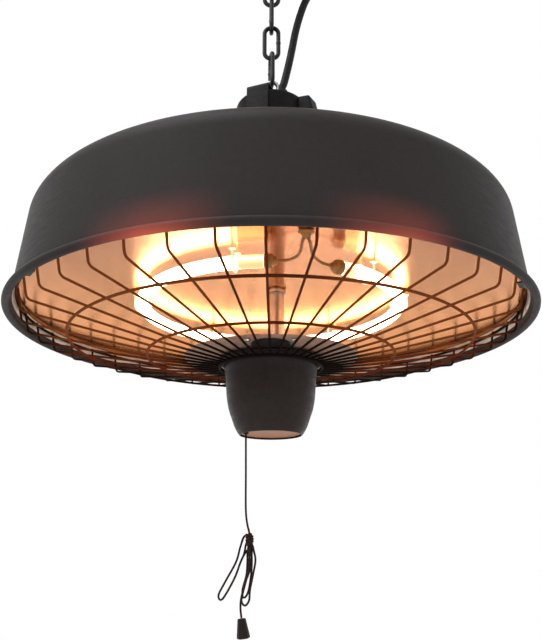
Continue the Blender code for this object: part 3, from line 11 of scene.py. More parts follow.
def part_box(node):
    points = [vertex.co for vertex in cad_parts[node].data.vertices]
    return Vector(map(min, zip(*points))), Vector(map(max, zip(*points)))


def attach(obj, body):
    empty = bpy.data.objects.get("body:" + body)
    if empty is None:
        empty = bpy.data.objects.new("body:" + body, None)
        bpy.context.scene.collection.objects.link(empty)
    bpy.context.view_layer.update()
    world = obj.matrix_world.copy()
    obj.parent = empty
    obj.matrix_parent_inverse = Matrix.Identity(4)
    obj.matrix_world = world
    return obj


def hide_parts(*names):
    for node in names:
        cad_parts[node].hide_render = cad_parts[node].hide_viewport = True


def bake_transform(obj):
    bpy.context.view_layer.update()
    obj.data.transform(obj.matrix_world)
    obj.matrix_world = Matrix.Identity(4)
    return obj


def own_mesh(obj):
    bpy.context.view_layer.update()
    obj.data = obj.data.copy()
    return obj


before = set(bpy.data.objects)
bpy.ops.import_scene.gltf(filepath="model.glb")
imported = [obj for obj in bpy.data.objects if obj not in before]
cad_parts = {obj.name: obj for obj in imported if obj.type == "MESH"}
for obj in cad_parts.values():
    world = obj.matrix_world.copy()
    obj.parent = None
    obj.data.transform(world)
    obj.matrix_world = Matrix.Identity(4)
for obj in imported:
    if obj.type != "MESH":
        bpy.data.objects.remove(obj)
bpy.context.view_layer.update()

# Heights that everything else hangs on, from the CAD frame
seatHeight = 0.14249037
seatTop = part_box("shade")[1].z
rimZ = seatTop - seatHeight
capBase = seatTop + 0.0003
capTop = capBase + 0.0663
strapUnder = capTop + 0.0030
strapTop = strapUnder + 0.0018
eyeZ = strapTop + 0.0160
firstLinkZ = -0.08945
linkPitch = 0.0298
print("frame loaded, rim at", round(rimZ, 4))


# Lines and routes

def arcPoints(centre, radius, startDeg, endDeg, steps):
    points = []
    for step in range(steps + 1):
        angle = math.radians(startDeg + (endDeg - startDeg) * step / steps)
        points.append(Vector((centre[0] + radius * math.cos(angle), centre[1] + radius * math.sin(angle))))
    return points


def besidePath(path, distance):
    # the path moved to its left, with mitred corners
    moved = []
    for index, point in enumerate(path):
        headings = []
        if index > 0:
            headings.append((point - path[index - 1]).normalized())
        if index < len(path) - 1:
            headings.append((path[index + 1] - point).normalized())
        lefts = [Vector((-heading.y, heading.x)) for heading in headings]
        mean = (lefts[0] + lefts[-1]).normalized()
        moved.append(point + mean * (distance / mean.dot(lefts[0])))
    return moved


def aroundFront(turnDeg, reach, height):
    # an angle from the front, turning towards +X
    angle = math.radians(turnDeg)
    return Vector((reach * math.sin(angle), -reach * math.cos(angle), height))


def roundCorners(points, radius, steps=5):
    points = [Vector(point) for point in points]
    smooth = [points[0]]
    for a, b, c in zip(points, points[1:], points[2:]):
        reach = min(radius, (a - b).length * 0.49, (c - b).length * 0.49)
        start = b + (a - b).normalized() * reach
        end = b + (c - b).normalized() * reach
        for step in range(steps + 1):
            t = step / steps
            smooth.append(start * (1 - t) ** 2 + b * (2 * t * (1 - t)) + end * t ** 2)
    smooth.append(points[-1])
    return smooth


def smoothRoute(route, spacing):
    # evenly spaced points on a smooth curve through the route's own points
    points = [Vector(point) for point in route]
    points = [2 * points[0] - points[1]] + points + [2 * points[-1] - points[-2]]
    fine = []
    for a, b, c, d in zip(points, points[1:], points[2:], points[3:]):
        steps = max(2, math.ceil((c - b).length / spacing * 4))
        for step in range(steps):
            t = step / steps
            curve = 2 * b + (c - a) * t + (2 * a - 5 * b + 4 * c - d) * t**2
            fine.append((curve + (3 * b - a - 3 * c + d) * t**3) / 2)
    fine.append(points[-2])
    total = routeLength(fine)
    count = max(2, round(total / spacing))
    even = [fine[0]]
    walked = 0.0
    for a, b in zip(fine, fine[1:]):
        step = (b - a).length
        while len(even) < count and walked + step >= total * len(even) / count:
            even.append(a.lerp(b, (total * len(even) / count - walked) / step))
        walked += step
    if len(even) <= count:
        even.append(fine[-1])
    return even


def routeLength(points):
    return sum((b - a).length for a, b in zip(points, points[1:]))


# Meshes

def addTurned(bm, outline, place=None, steps=96, wave=None):
    # an outline of (r, z) points turned about Z; wave gives a share of r at an angle
    place = place or Matrix()
    rings = []
    for reach, height in outline:
        if reach < 0.000001:
            rings.append([bm.verts.new(place @ Vector((0, 0, height)))] * steps)
            continue
        ring = []
        for step in range(steps):
            angle = math.tau * step / steps
            across = reach * wave(angle) if wave else reach
            ring.append(
                bm.verts.new(place @ Vector((across * math.cos(angle), across * math.sin(angle), height)))
            )
        rings.append(ring)
    pairs = list(zip(rings, rings[1:]))
    if outline[0][0] > 0.000001 or outline[-1][0] > 0.000001:
        pairs.append((rings[-1], rings[0]))
    for low, high in pairs:
        for step in range(steps):
            after = (step + 1) % steps
            corners = list(dict.fromkeys((low[step], low[after], high[after], high[step])))
            if len(corners) > 2:
                bm.faces.new(corners)


def addTube(bm, path, radius, sides=16, closed=False):
    # a round tube with its length and turn in the UV map; radius is a number or a list
    uvLayer = bm.loops.layers.uv.verify()
    path = [Vector(point) for point in path]
    count = len(path)
    radii = list(radius) if isinstance(radius, (list, tuple)) else [radius] * count
    rings = []
    walked = [0.0]
    side = None
    for index, point in enumerate(path):
        before = path[index - 1] if closed or index else point
        after = path[(index + 1) % count] if closed or index < count - 1 else point
        heading = (after - before).normalized()
        side = heading.orthogonal() if side is None else side
        side = (side - heading * side.dot(heading)).normalized()
        up = heading.cross(side)
        ring = []
        for step in range(sides):
            angle = math.tau * step / sides
            ring.append(
                bm.verts.new(point + radii[index] * (math.cos(angle) * side + math.sin(angle) * up))
            )
        rings.append(ring)
        walked.append(walked[-1] + (path[(index + 1) % count] - point).length)
    spans = count if closed else count - 1
    for index in range(spans):
        here = rings[index]
        there = rings[(index + 1) % count]
        for step in range(sides):
            after = (step + 1) % sides
            face = bm.faces.new((here[step], here[after], there[after], there[step]))
            turns = (step / sides, (step + 1) / sides, (step + 1) / sides, step / sides)
            lengths = (walked[index], walked[index], walked[index + 1], walked[index + 1])
            for loop, length, turn in zip(face.loops, lengths, turns):
                loop[uvLayer].uv = (length, turn)
    if not closed:
        bm.faces.new(rings[0])
        bm.faces.new(rings[-1])


def addStrip(bm, path, across, width, thickness, edge=0.0003):
    # a flat bar with soft edges along a path; across is its sideways direction
    path = [Vector(point) for point in path]
    across = Vector(across).normalized()
    halfWide = width / 2
    halfThick = thickness / 2
    corners = (
        (halfWide, halfThick), (-halfWide, halfThick), (-halfWide, -halfThick), (halfWide, -halfThick)
    )
    section = []
    for index, corner in enumerate(corners):
        middle = Vector(corner) - Vector((math.copysign(edge, corner[0]), math.copysign(edge, corner[1])))
        section += arcPoints(middle, edge, 90 * index, 90 * index + 90, 3)
    rings = []
    for index, point in enumerate(path):
        normals = []
        if index > 0:
            normals.append((point - path[index - 1]).normalized().cross(across))
        if index < len(path) - 1:
            normals.append((path[index + 1] - point).normalized().cross(across))
        mean = (normals[0] + normals[-1]).normalized()
        stretch = 1 / max(0.3, mean.dot(normals[0]))
        rings.append([bm.verts.new(point + across * s.x + mean * (s.y * stretch)) for s in section])
    for here, there in zip(rings, rings[1:]):
        for step in range(len(section)):
            after = (step + 1) % len(section)
            bm.faces.new((here[step], here[after], there[after], there[step]))
    bm.faces.new(rings[0])
    bm.faces.new(rings[-1])


def addPrism(bm, outline, depth, place, edge=0.0):
    # a flat outline drawn out along Z about its middle, with bevelled edges
    part = bmesh.new()
    face = part.faces.new([part.verts.new((point[0], point[1], -depth / 2)) for point in outline])
    drawn = bmesh.ops.extrude_face_region(part, geom=[face])
    raised = [item for item in drawn["geom"] if isinstance(item, bmesh.types.BMVert)]
    bmesh.ops.translate(part, verts=raised, vec=(0, 0, depth))
    if edge:
        sharp = [item for item in part.edges if item.calc_face_angle(0) > 0.9]
        bmesh.ops.bevel(part, geom=sharp, offset=edge, segments=3, affect="EDGES", profile=0.5)
    bmesh.ops.transform(part, matrix=place, verts=part.verts)
    bmesh.ops.recalc_face_normals(part, faces=part.faces)
    mesh = bpy.data.meshes.new("prism")
    part.to_mesh(mesh)
    part.free()
    bm.from_mesh(mesh)
    bpy.data.meshes.remove(mesh)


def addNut(bm, radius, bore, height, place, chamfer=0.55):
    # a hexagon nut with its corners chamfered at both ends
    flat = radius * math.cos(math.pi / 6)
    face = flat * 0.985
    steps = 48
    rings = []
    for level in range(6):
        ring = []
        for step in range(steps):
            angle = math.tau * step / steps
            turn = (angle + math.pi / 6) % (math.pi / 3) - math.pi / 6
            side = flat / math.cos(turn)
            drop = (side - face) * chamfer
            levels = (
                (bore, 0), (face, 0), (side, drop), (side, height - drop), (face, height), (bore, height)
            )
            reach, high = levels[level]
            ring.append(
                bm.verts.new(place @ Vector((reach * math.cos(angle), reach * math.sin(angle), high)))
            )
        rings.append(ring)
    for here, there in zip(rings, rings[1:] + rings[:1]):
        for step in range(steps):
            after = (step + 1) % steps
            bm.faces.new((here[step], here[after], there[after], there[step]))


def meshPiece(name, bm, sharpDeg=32, merge=0.000004):
    bmesh.ops.remove_doubles(bm, verts=bm.verts, dist=merge)
    bmesh.ops.recalc_face_normals(bm, faces=bm.faces)
    mesh = bpy.data.meshes.new(name)
    bm.to_mesh(mesh)
    bm.free()
    return meshObject(name, mesh, sharpDeg)


def meshObject(name, mesh, sharpDeg=32):
    mesh.name = name
    mesh.shade_smooth()
    mesh.set_sharp_from_angle(angle=math.radians(sharpDeg))
    piece = bpy.data.objects.new(name, mesh)
    bpy.context.scene.collection.objects.link(piece)
    return piece


def turnedPiece(name, outline, place=(0, 0, 0), steps=96, sharpDeg=32):
    bm = bmesh.new()
    addTurned(bm, outline, Matrix.Translation(place), steps)
    return meshPiece(name, bm, sharpDeg)


def tubePiece(name, path, radius, sides=16, sharpDeg=60, merge=0.000004):
    bm = bmesh.new()
    addTube(bm, path, radius, sides)
    return meshPiece(name, bm, sharpDeg, merge)


def combined(piece, tool, operation):
    # the Boolean's result as a plain mesh
    change = piece.modifiers.new("cut", "BOOLEAN")
    change.operation = operation
    change.solver = "EXACT"
    change.object = tool
    depsgraph = bpy.context.evaluated_depsgraph_get()
    depsgraph.update()
    mesh = bpy.data.meshes.new_from_object(piece.evaluated_get(depsgraph), depsgraph=depsgraph)
    name = piece.name
    bpy.data.objects.remove(piece)
    bpy.data.objects.remove(tool)
    return meshObject(name, mesh)


def onPiece(piece, finish, body, slotName, *nodes):
    piece.data.materials.clear()
    piece.data.materials.append(finishes[finish])
    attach(piece, body)
    if nodes:
        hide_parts(*nodes)
    return piece


# Node trees

def fillInputs(tree, node, inputs):
    # gives each socket a value or another node's output
    for key, value in inputs.items():
        if isinstance(value, bpy.types.NodeSocket):
            tree.links.new(value, node.inputs[key])
        else:
            node.inputs[key].default_value = value


def addNode(tree, kind, place, inputs=None, **settings):
    node = tree.nodes.new(kind)
    node.location = (place[0] * 190, -place[1] * 170)
    for key, value in settings.items():
        setattr(node, key, value)
    fillInputs(tree, node, inputs or {})
    return node


def addSockets(tree, direction, sockets):
    for label, kind, *value in sockets:
        socket = tree.interface.new_socket(name=label, in_out=direction, socket_type="NodeSocket" + kind)
        if value and value[0] is not None:
            socket.default_value = value[0]


def mathNode(tree, place, operation, *values):
    return addNode(tree, "ShaderNodeMath", place, dict(enumerate(values)), operation=operation).outputs[0]


def rangeNode(tree, place, value, low, high, newLow=0.0, newHigh=1.0, smooth=False):
    inputs = {"Value": value, "From Min": low, "From Max": high, "To Min": newLow, "To Max": newHigh}
    way = "SMOOTHSTEP" if smooth else "LINEAR"
    return addNode(tree, "ShaderNodeMapRange", place, inputs, interpolation_type=way).outputs[0]


def mixNode(tree, place, share, first, second):
    return addNode(
        tree, "ShaderNodeMix", place, {0: share, 6: first, 7: second}, data_type="RGBA"
    ).outputs[2]


def noiseNode(tree, place, vector, scale, detail):
    inputs = {"Vector": vector, "Scale": scale, "Detail": detail}
    return addNode(tree, "ShaderNodeTexNoise", place, inputs).outputs[0]


def bumpNode(tree, place, height, distance):
    return addNode(
        tree, "ShaderNodeBump", place, {"Height": height, "Distance": distance, "Strength": 1.0}
    ).outputs[0]


def circleNode(tree, place, count, radius):
    inputs = {"Resolution": count, "Radius": radius}
    return addNode(tree, "GeometryNodeCurvePrimitiveCircle", place, inputs).outputs[0]


def shapeTree(name, sockets):
    tree = bpy.data.node_groups.new(name, "GeometryNodeTree")
    addSockets(tree, "INPUT", (("Geometry", "Geometry"), *sockets))
    addSockets(tree, "OUTPUT", (("Geometry", "Geometry"),))
    return tree, addNode(tree, "NodeGroupInput", (-1, 0)).outputs


def endTree(tree, result, material):
    # every tree ends in real geometry with its material on it
    real = addNode(tree, "GeometryNodeRealizeInstances", (9, 0), {"Geometry": result})
    painted = addNode(
        tree, "GeometryNodeSetMaterial", (10, 0), {"Geometry": real.outputs[0], "Material": material}
    )
    addNode(tree, "NodeGroupOutput", (11, 0), {"Geometry": painted.outputs[0]})
    return tree


def pointsObject(points, joined=False):
    # bare points, or a line through them, for a tree to start from
    edges = [(index, index + 1) for index in range(len(points) - 1)] if joined else []
    mesh = bpy.data.meshes.new("start")
    mesh.from_pydata([tuple(point) for point in points], edges, [])
    holder = bpy.data.objects.new("start", mesh)
    bpy.context.scene.collection.objects.link(holder)
    return holder


def grown(name, holder, tree, values, sharpDeg=40):
    # runs a tree once and keeps its result as a plain mesh
    modifier = holder.modifiers.new(tree.name, "NODES")
    modifier.node_group = tree
    for item in tree.interface.items_tree:
        if item.item_type == "SOCKET" and item.in_out == "INPUT" and item.name in values:
            modifier[item.identifier] = values[item.name]
    depsgraph = bpy.context.evaluated_depsgraph_get()
    depsgraph.update()
    mesh = bpy.data.meshes.new_from_object(holder.evaluated_get(depsgraph), depsgraph=depsgraph)
    bpy.data.objects.remove(holder)
    return meshObject(name, mesh, sharpDeg)


# Shader groups that several finishes share

def shaderGroup(name, inputs, outputs):
    group = bpy.data.node_groups.new(name, "ShaderNodeTree")
    addSockets(group, "INPUT", inputs)
    addSockets(group, "OUTPUT", outputs)
    return group, addNode(group, "NodeGroupInput", (-1, 0)).outputs


def useGroup(tree, group, place, inputs):
    return addNode(tree, "ShaderNodeGroup", place, inputs, node_tree=group)


def makeMottle():
    # cloudy colour change at two sizes
    group, given = shaderGroup(
        "mottledColour",
        (
            ("Vector", "Vector", None), ("Colour", "Color", (0.5, 0.5, 0.5, 1)), ("Spread", "Float", 0.2),
            ("Scale", "Float", 30),
        ),
        (("Colour", "Color"), ("Cloud", "Float")),
    )
    broad = noiseNode(group, (1, 0), given["Vector"], given["Scale"], 4)
    finer = mathNode(group, (1, 2), "MULTIPLY", given["Scale"], 9.0)
    small = noiseNode(group, (2, 2), given["Vector"], finer, 3)
    both = mathNode(group, (3, 0), "ADD", broad, small)
    cloud = rangeNode(group, (4, 0), both, 0.7, 1.3, -1, 1)
    spread = mathNode(group, (5, 0), "MULTIPLY", cloud, given["Spread"])
    share = mathNode(group, (6, 0), "ADD", spread, 1.0)
    tinted = addNode(
        group, "ShaderNodeVectorMath", (7, 0), {0: given["Colour"], "Scale": share}, operation="SCALE"
    )
    addNode(group, "NodeGroupOutput", (8, 0), {"Colour": tinted.outputs["Vector"], "Cloud": cloud})
    return group


def makeSkin():
    # orange peel of paint and a fine grain, as one height
    group, given = shaderGroup(
        "paintedSkin",
        (
            ("Vector", "Vector", None), ("Peel Scale", "Float", 300), ("Peel", "Float", 0.7),
            ("Grain Scale", "Float", 2500), ("Grain", "Float", 0.3),
        ),
        (("Height", "Float"),),
    )
    peel = noiseNode(group, (1, 0), given["Vector"], given["Peel Scale"], 1)
    grain = noiseNode(group, (1, 2), given["Vector"], given["Grain Scale"], 2)
    first = mathNode(group, (2, 0), "MULTIPLY", peel, given["Peel"])
    height = mathNode(group, (3, 0), "MULTIPLY_ADD", grain, given["Grain"], first)
    addNode(group, "NodeGroupOutput", (4, 0), {"Height": height})
    return group


def makeDust():
    # dust that lies on what faces up, and scuffs that change the gloss
    group, given = shaderGroup(
        "dustAndScuffs",
        (
            ("Vector", "Vector", None), ("Colour", "Color", (0.5, 0.5, 0.5, 1)),
            ("Roughness", "Float", 0.4), ("Dust", "Float", 0.2), ("Scuffs", "Float", 0.1),
        ),
        (("Colour", "Color"), ("Roughness", "Float")),
    )
    facing = addNode(group, "ShaderNodeNewGeometry", (0, 2))
    parts = addNode(group, "ShaderNodeSeparateXYZ", (1, 2), {0: facing.outputs["Normal"]})
    upward = rangeNode(group, (2, 2), parts.outputs["Z"], 0.3, 1.0)
    specks = noiseNode(group, (1, 3), given["Vector"], 160, 6)
    patchy = rangeNode(group, (2, 3), specks, 0.42, 0.68)
    lying = mathNode(group, (3, 2), "MULTIPLY", upward, patchy)
    dust = mathNode(group, (4, 2), "MULTIPLY", lying, given["Dust"])
    dusty = mixNode(group, (5, 0), dust, given["Colour"], (0.32, 0.29, 0.26, 1))
    flat = addNode(
        group, "ShaderNodeMapping", (0, 5), {"Vector": given["Vector"], "Scale": (1.0, 1.0, 7.0)}
    )
    streaks = noiseNode(group, (1, 5), flat.outputs[0], 75, 5)
    scuffed = rangeNode(group, (2, 5), streaks, 0.35, 0.7, -1, 1)
    change = mathNode(group, (3, 5), "MULTIPLY_ADD", scuffed, given["Scuffs"], given["Roughness"])
    duller = mathNode(group, (5, 5), "MULTIPLY_ADD", dust, 0.4, change)
    addNode(group, "NodeGroupOutput", (7, 0), {"Colour": dusty, "Roughness": duller})
    return group


def makeSpunRings():
    # fine uneven rings round the Z axis, as left by spinning and buffing
    group, given = shaderGroup(
        "spunRings", (("Vector", "Vector", None), ("Lines", "Float", 900), ("Ripple", "Float", 30)),
        (("Height", "Float"), ("Shade", "Float")),
    )
    flat = addNode(
        group, "ShaderNodeVectorMath", (0, 0), {0: given["Vector"], 1: (1, 1, 0)}, operation="MULTIPLY"
    )
    reach = addNode(group, "ShaderNodeVectorMath", (1, 0), {0: flat.outputs[0]}, operation="LENGTH")
    fine = addNode(
        group, "ShaderNodeTexNoise", (2, 0),
        {"W": reach.outputs["Value"], "Scale": given["Lines"], "Detail": 3}, noise_dimensions="1D",
    )
    broad = noiseNode(group, (2, 2), given["Vector"], given["Ripple"], 1)
    height = mathNode(group, (3, 0), "MULTIPLY_ADD", fine.outputs[0], 0.25, broad)
    addNode(group, "NodeGroupOutput", (5, 0), {"Height": height, "Shade": fine.outputs[0]})
    return group


def makeBraid():
    # strands that cross each other round a cord; UV is (length, turn)
    group, given = shaderGroup(
        "braidedSleeve", (("UV", "Vector", None), ("Rows", "Float", 500), ("Strands", "Float", 6)),
        (("Height", "Float"), ("Shade", "Float")),
    )
    parts = addNode(group, "ShaderNodeSeparateXYZ", (0, 0), {0: given["UV"]})
    along = mathNode(group, (1, 0), "MULTIPLY", parts.outputs["X"], given["Rows"])
    aroundCord = mathNode(group, (1, 2), "MULTIPLY", parts.outputs["Y"], given["Strands"])
    waves = []
    for row, operation in enumerate(("ADD", "SUBTRACT")):
        joined = mathNode(group, (2, row), operation, along, aroundCord)
        turned = mathNode(group, (3, row), "MULTIPLY", joined, math.tau)
        waves.append(mathNode(group, (4, row), "SINE", turned))
    higher = mathNode(group, (5, 0), "MAXIMUM", waves[0], waves[1])
    height = rangeNode(group, (6, 0), higher, -0.6, 1.0)
    addNode(group, "NodeGroupOutput", (7, 0), {"Height": height, "Shade": height})
    return group


def makePaintedGlowMask():
    # mask of a painted glow: strongest at two places on the front of the rim, fading upwards
    group, given = shaderGroup(
        "heatNearRim",
        (
            ("Vector", "Vector", None), ("Rim Height", "Float", -0.4279), ("Fade", "Float", 0.05),
            ("Lobe Turn", "Float", 0.61),
        ),
        (("Glow", "Float"),),
    )
    parts = addNode(group, "ShaderNodeSeparateXYZ", (0, 0), {0: given["Vector"]})
    across = mathNode(group, (1, 0), "ABSOLUTE", parts.outputs["X"])
    ahead = mathNode(group, (1, 1), "MULTIPLY", parts.outputs["Y"], -1.0)
    turn = mathNode(group, (2, 0), "ARCTAN2", across, ahead)
    off = mathNode(group, (3, 0), "SUBTRACT", turn, given["Lobe Turn"])
    far = mathNode(group, (4, 0), "ABSOLUTE", off)
    lobe = rangeNode(group, (5, 0), far, 0.0, 0.27, 1.0, 0.0, smooth=True)
    rise = mathNode(group, (1, 3), "SUBTRACT", parts.outputs["Z"], given["Rim Height"])
    share = mathNode(group, (2, 3), "DIVIDE", rise, given["Fade"])
    low = rangeNode(group, (3, 3), share, 0.0, 1.0, 1.0, 0.0, smooth=True)
    edge = rangeNode(group, (3, 4), rise, -0.0028, 0.0025, 1.5, 0.0)
    both = mathNode(group, (4, 3), "MULTIPLY_ADD", edge, lobe, low)
    sides = rangeNode(group, (5, 3), parts.outputs["X"], -0.03, 0.03, 1.0, 0.68)
    spread = mathNode(group, (5, 1), "MULTIPLY", lobe, sides)
    glow = mathNode(group, (6, 0), "MULTIPLY", spread, both)
    addNode(group, "NodeGroupOutput", (7, 0), {"Glow": glow})
    return group


mottledColour = makeMottle()
paintedSkin = makeSkin()
dustAndScuffs = makeDust()
spunRings = makeSpunRings()
braidedSleeve = makeBraid()
heatNearRim = makePaintedGlowMask()
print("shader groups ready")


# Finishes

def emptyMaterial(name):
    material = bpy.data.materials.new(name)
    material.use_nodes = True
    tree = material.node_tree
    shader = tree.nodes["Principled BSDF"]
    coords = addNode(tree, "ShaderNodeTexCoord", (-8, 1))
    return material, tree, shader, coords.outputs


def makeFinish(name, look):
    # colour, gloss, dust and skin, each through a shared group
    material, tree, shader, coords = emptyMaterial(name)
    mottle = useGroup(tree, mottledColour, (-6, 0), {
        "Vector": coords["Object"], "Colour": (*look["colour"], 1), "Spread": look["spread"],
        "Scale": look["cloud"],
    })
    dust = useGroup(tree, dustAndScuffs, (-4, 0), {
        "Vector": coords["Object"], "Colour": mottle.outputs["Colour"], "Roughness": look["rough"],
        "Dust": look["dust"], "Scuffs": look["scuffs"],
    })
    skin = useGroup(tree, paintedSkin, (-6, 3), {
        "Vector": coords["Object"], "Peel Scale": look["peelScale"], "Peel": look["peel"],
        "Grain Scale": look["grainScale"], "Grain": look["grain"],
    })
    bump = bumpNode(tree, (-3, 3), skin.outputs["Height"], look["depth"])
    fillInputs(tree, shader, {
        "Base Color": dust.outputs["Colour"], "Roughness": dust.outputs["Roughness"], "Normal": bump,
        "Metallic": look["metal"], "Specular IOR Level": look["specular"],
    })
    return material


# colour, roughness and so on of the plain finishes; scales are per metre, depth in metres
plainLook = dict(
    colour=(0.02, 0.02, 0.02), rough=0.4, metal=0.0, specular=0.4, spread=0.18, cloud=26, dust=0.12,
    scuffs=0.08, peelScale=420, peel=0.7, grainScale=3500, grain=0.3, depth=0.00008,
)
plainFinishes = {
    "darkEnamel": {"colour": (0.022, 0.0150, 0.0138), "rough": 0.42, "specular": 0.14, "dust": 0.03},
    "strapEnamel": {"colour": (0.0190, 0.0172, 0.0166), "rough": 0.55, "specular": 0.07, "dust": 0.04},
    "capPlastic": {
        "colour": (0.0085, 0.0077, 0.0074), "rough": 0.50, "specular": 0.06, "dust": 0.08,
        "peelScale": 1500, "depth": 0.00012,
    },
    "knobPlastic": {
        "colour": (0.020, 0.0145, 0.0130), "rough": 0.5, "specular": 0.10, "peelScale": 1800,
        "depth": 0.00006,
    },
    "chainSteel": {
        "colour": (0.017, 0.0150, 0.0143), "rough": 0.34, "metal": 0.15, "specular": 0.26, "spread": 0.35,
        "cloud": 180, "scuffs": 0.15, "peelScale": 1600,
    },
    "zincPlate": {
        "colour": (0.60, 0.60, 0.58), "rough": 0.34, "metal": 1.0, "spread": 0.14, "cloud": 420,
        "dust": 0.08, "scuffs": 0.12, "peelScale": 2200, "depth": 0.00004,
    },
    "blackSteel": {
        "colour": (0.030, 0.026, 0.025), "rough": 0.4, "metal": 0.3, "specular": 0.3, "spread": 0.3,
        "cloud": 90,
    },
    "cableRubber": {
        "colour": (0.0100, 0.0092, 0.0088), "rough": 0.46, "specular": 0.10, "dust": 0.03,
        "grainScale": 5200, "peelScale": 900, "depth": 0.00005,
    },
    "leadSleeve": {
        "colour": (0.34, 0.145, 0.050), "rough": 0.6, "spread": 0.3, "cloud": 200, "grain": 0.7, "dust": 0.0
    },
    "amberCeramic": {
        "colour": (0.36, 0.165, 0.042), "rough": 0.5, "spread": 0.3, "cloud": 240, "peelScale": 1300,
        "dust": 0.0,
    },
    "whitePlastic": {"colour": (0.72, 0.70, 0.66), "rough": 0.42, "spread": 0.06, "dust": 0.0},
    # the shield plate: a brighter, warmer copy of the dark enamel, whose warm tan is painted light
    "warmPlate": {
        "colour": (0.46, 0.275, 0.195), "rough": 0.5, "specular": 0.2, "spread": 0.25, "cloud": 34,
        "dust": 0.0,
    },
    # zinc of the tube clips; its warm colour and the emission added below paint a glint from the tube
    "hotZinc": {
        "colour": (0.80, 0.70, 0.55), "rough": 0.3, "metal": 0.6, "spread": 0.1, "cloud": 420, "dust": 0.0
    },
}
finishes = {name: makeFinish(name, {**plainLook, **look}) for name, look in plainFinishes.items()}


def makeShadeEnamel(settings):
    # satin enamel with a painted warm glow low on the front of the wall: an emission that stands in for the
    # hot tube's light near the rim
    material = makeFinish("shadeEnamel", settings["enamel"])
    tree = material.node_tree
    shader = tree.nodes["Principled BSDF"]
    coords = addNode(tree, "ShaderNodeTexCoord", (-8, 6))
    paintedGlowMask = useGroup(tree, heatNearRim, (-6, 6), {
        "Vector": coords.outputs["Object"], "Rim Height": rimZ, "Fade": settings["paintedGlowHeight"],
        "Lobe Turn": math.radians(settings["paintedGlowTurnDeg"]),
    })
    uneven = noiseNode(tree, (-6, 8), coords.outputs["Object"], 14, 2)
    part = mathNode(tree, (-4, 6), "MULTIPLY", paintedGlowMask.outputs["Glow"], uneven)
    # painted light: the warm emission on the enamel
    glow = addNode(
        tree, "ShaderNodeVectorMath", (-3, 6), {0: settings["paintedGlowColour"], "Scale": part}, operation="SCALE"
    )
    fillInputs(tree, shader, {"Emission Color": glow.outputs["Vector"], "Emission Strength": 1.0})
    return material


shadeSettings = {
    "enamel": {
        **plainLook, "colour": (0.0365, 0.0320, 0.0308), "rough": 0.46, "specular": 0.04, "spread": 0.06,
        "dust": 0.03, "scuffs": 0.05, "peelScale": 260, "depth": 0.00006,
    },
    # the glow values place and tint a painted glow, not a lamp
    "paintedGlowHeight": 0.030, "paintedGlowTurnDeg": 20.5, "paintedGlowColour": (0.40, 0.062, 0.034), "rim": 0.2125,
    "bead": 0.00325, "roundBead": 0.00318, "thickness": 0.0012, "wall": 0.0703, "leanDeg": 5.97,
    "shoulder": 0.0221, "crownDeg": 60.2, "seatDeg": 76, "seat": 0.051, "steps": 192,
}
finishes["shadeEnamel"] = makeShadeEnamel(shadeSettings)


def makeSpunMetal(name, look):
    material, tree, shader, coords = emptyMaterial(name)
    spun = useGroup(tree, spunRings, (-6, 0), {
        "Vector": coords["Object"], "Lines": look["lines"], "Ripple": look["ripple"]
    })
    mottle = useGroup(tree, mottledColour, (-6, 2), {
        "Vector": coords["Object"], "Colour": (*look["colour"], 1), "Spread": look["spread"], "Scale": 18
    })
    rough = rangeNode(tree, (-4, 1), spun.outputs["Shade"], 0.3, 0.7, look["rough"][0], look["rough"][1])
    bump = bumpNode(tree, (-4, 3), spun.outputs["Height"], look["depth"])
    fillInputs(tree, shader, {
        "Base Color": mottle.outputs["Colour"], "Roughness": rough, "Normal": bump,
        "Metallic": look["metal"], "Specular IOR Level": look["specular"],
    })
    return material


spunLooks = {
    # the dish's orange tan stands in for the tube's warm light on polished aluminium: painted light
    "polishedDish": {
        "colour": (0.72, 0.262, 0.062), "spread": 0.05, "rough": (0.15, 0.21), "lines": 1400, "ripple": 12,
        "depth": 0.00015, "metal": 1.0, "specular": 0.5,
    },
    # the skirt's pale colour is painted light on the lower wall
    "satinSkirt": {
        "colour": (0.50, 0.52, 0.52), "spread": 0.12, "rough": (0.5, 0.6), "lines": 900, "ripple": 30,
        "depth": 0.0001, "metal": 0.0, "specular": 0.15,
    },
    "polishedTube": {
        "colour": (0.31, 0.26, 0.235), "spread": 0.08, "rough": (0.34, 0.44), "lines": 300, "ripple": 40,
        "depth": 0.0001, "metal": 0.8, "specular": 0.5,
    },
    "satinBase": {
        "colour": (0.37, 0.150, 0.062), "spread": 0.12, "rough": (0.38, 0.52), "lines": 2600, "ripple": 60,
        "depth": 0.0001, "metal": 0.0, "specular": 0.1,
    },
}
for name, look in spunLooks.items():
    finishes[name] = makeSpunMetal(name, look)
# painted glint: a warm emission on the tube clips' zinc
glintingZincTree = finishes["hotZinc"].node_tree
paintedGlint = {"Emission Color": (1.0, 0.78, 0.48, 1), "Emission Strength": 0.8}
fillInputs(glintingZincTree, glintingZincTree.nodes["Principled BSDF"], paintedGlint)


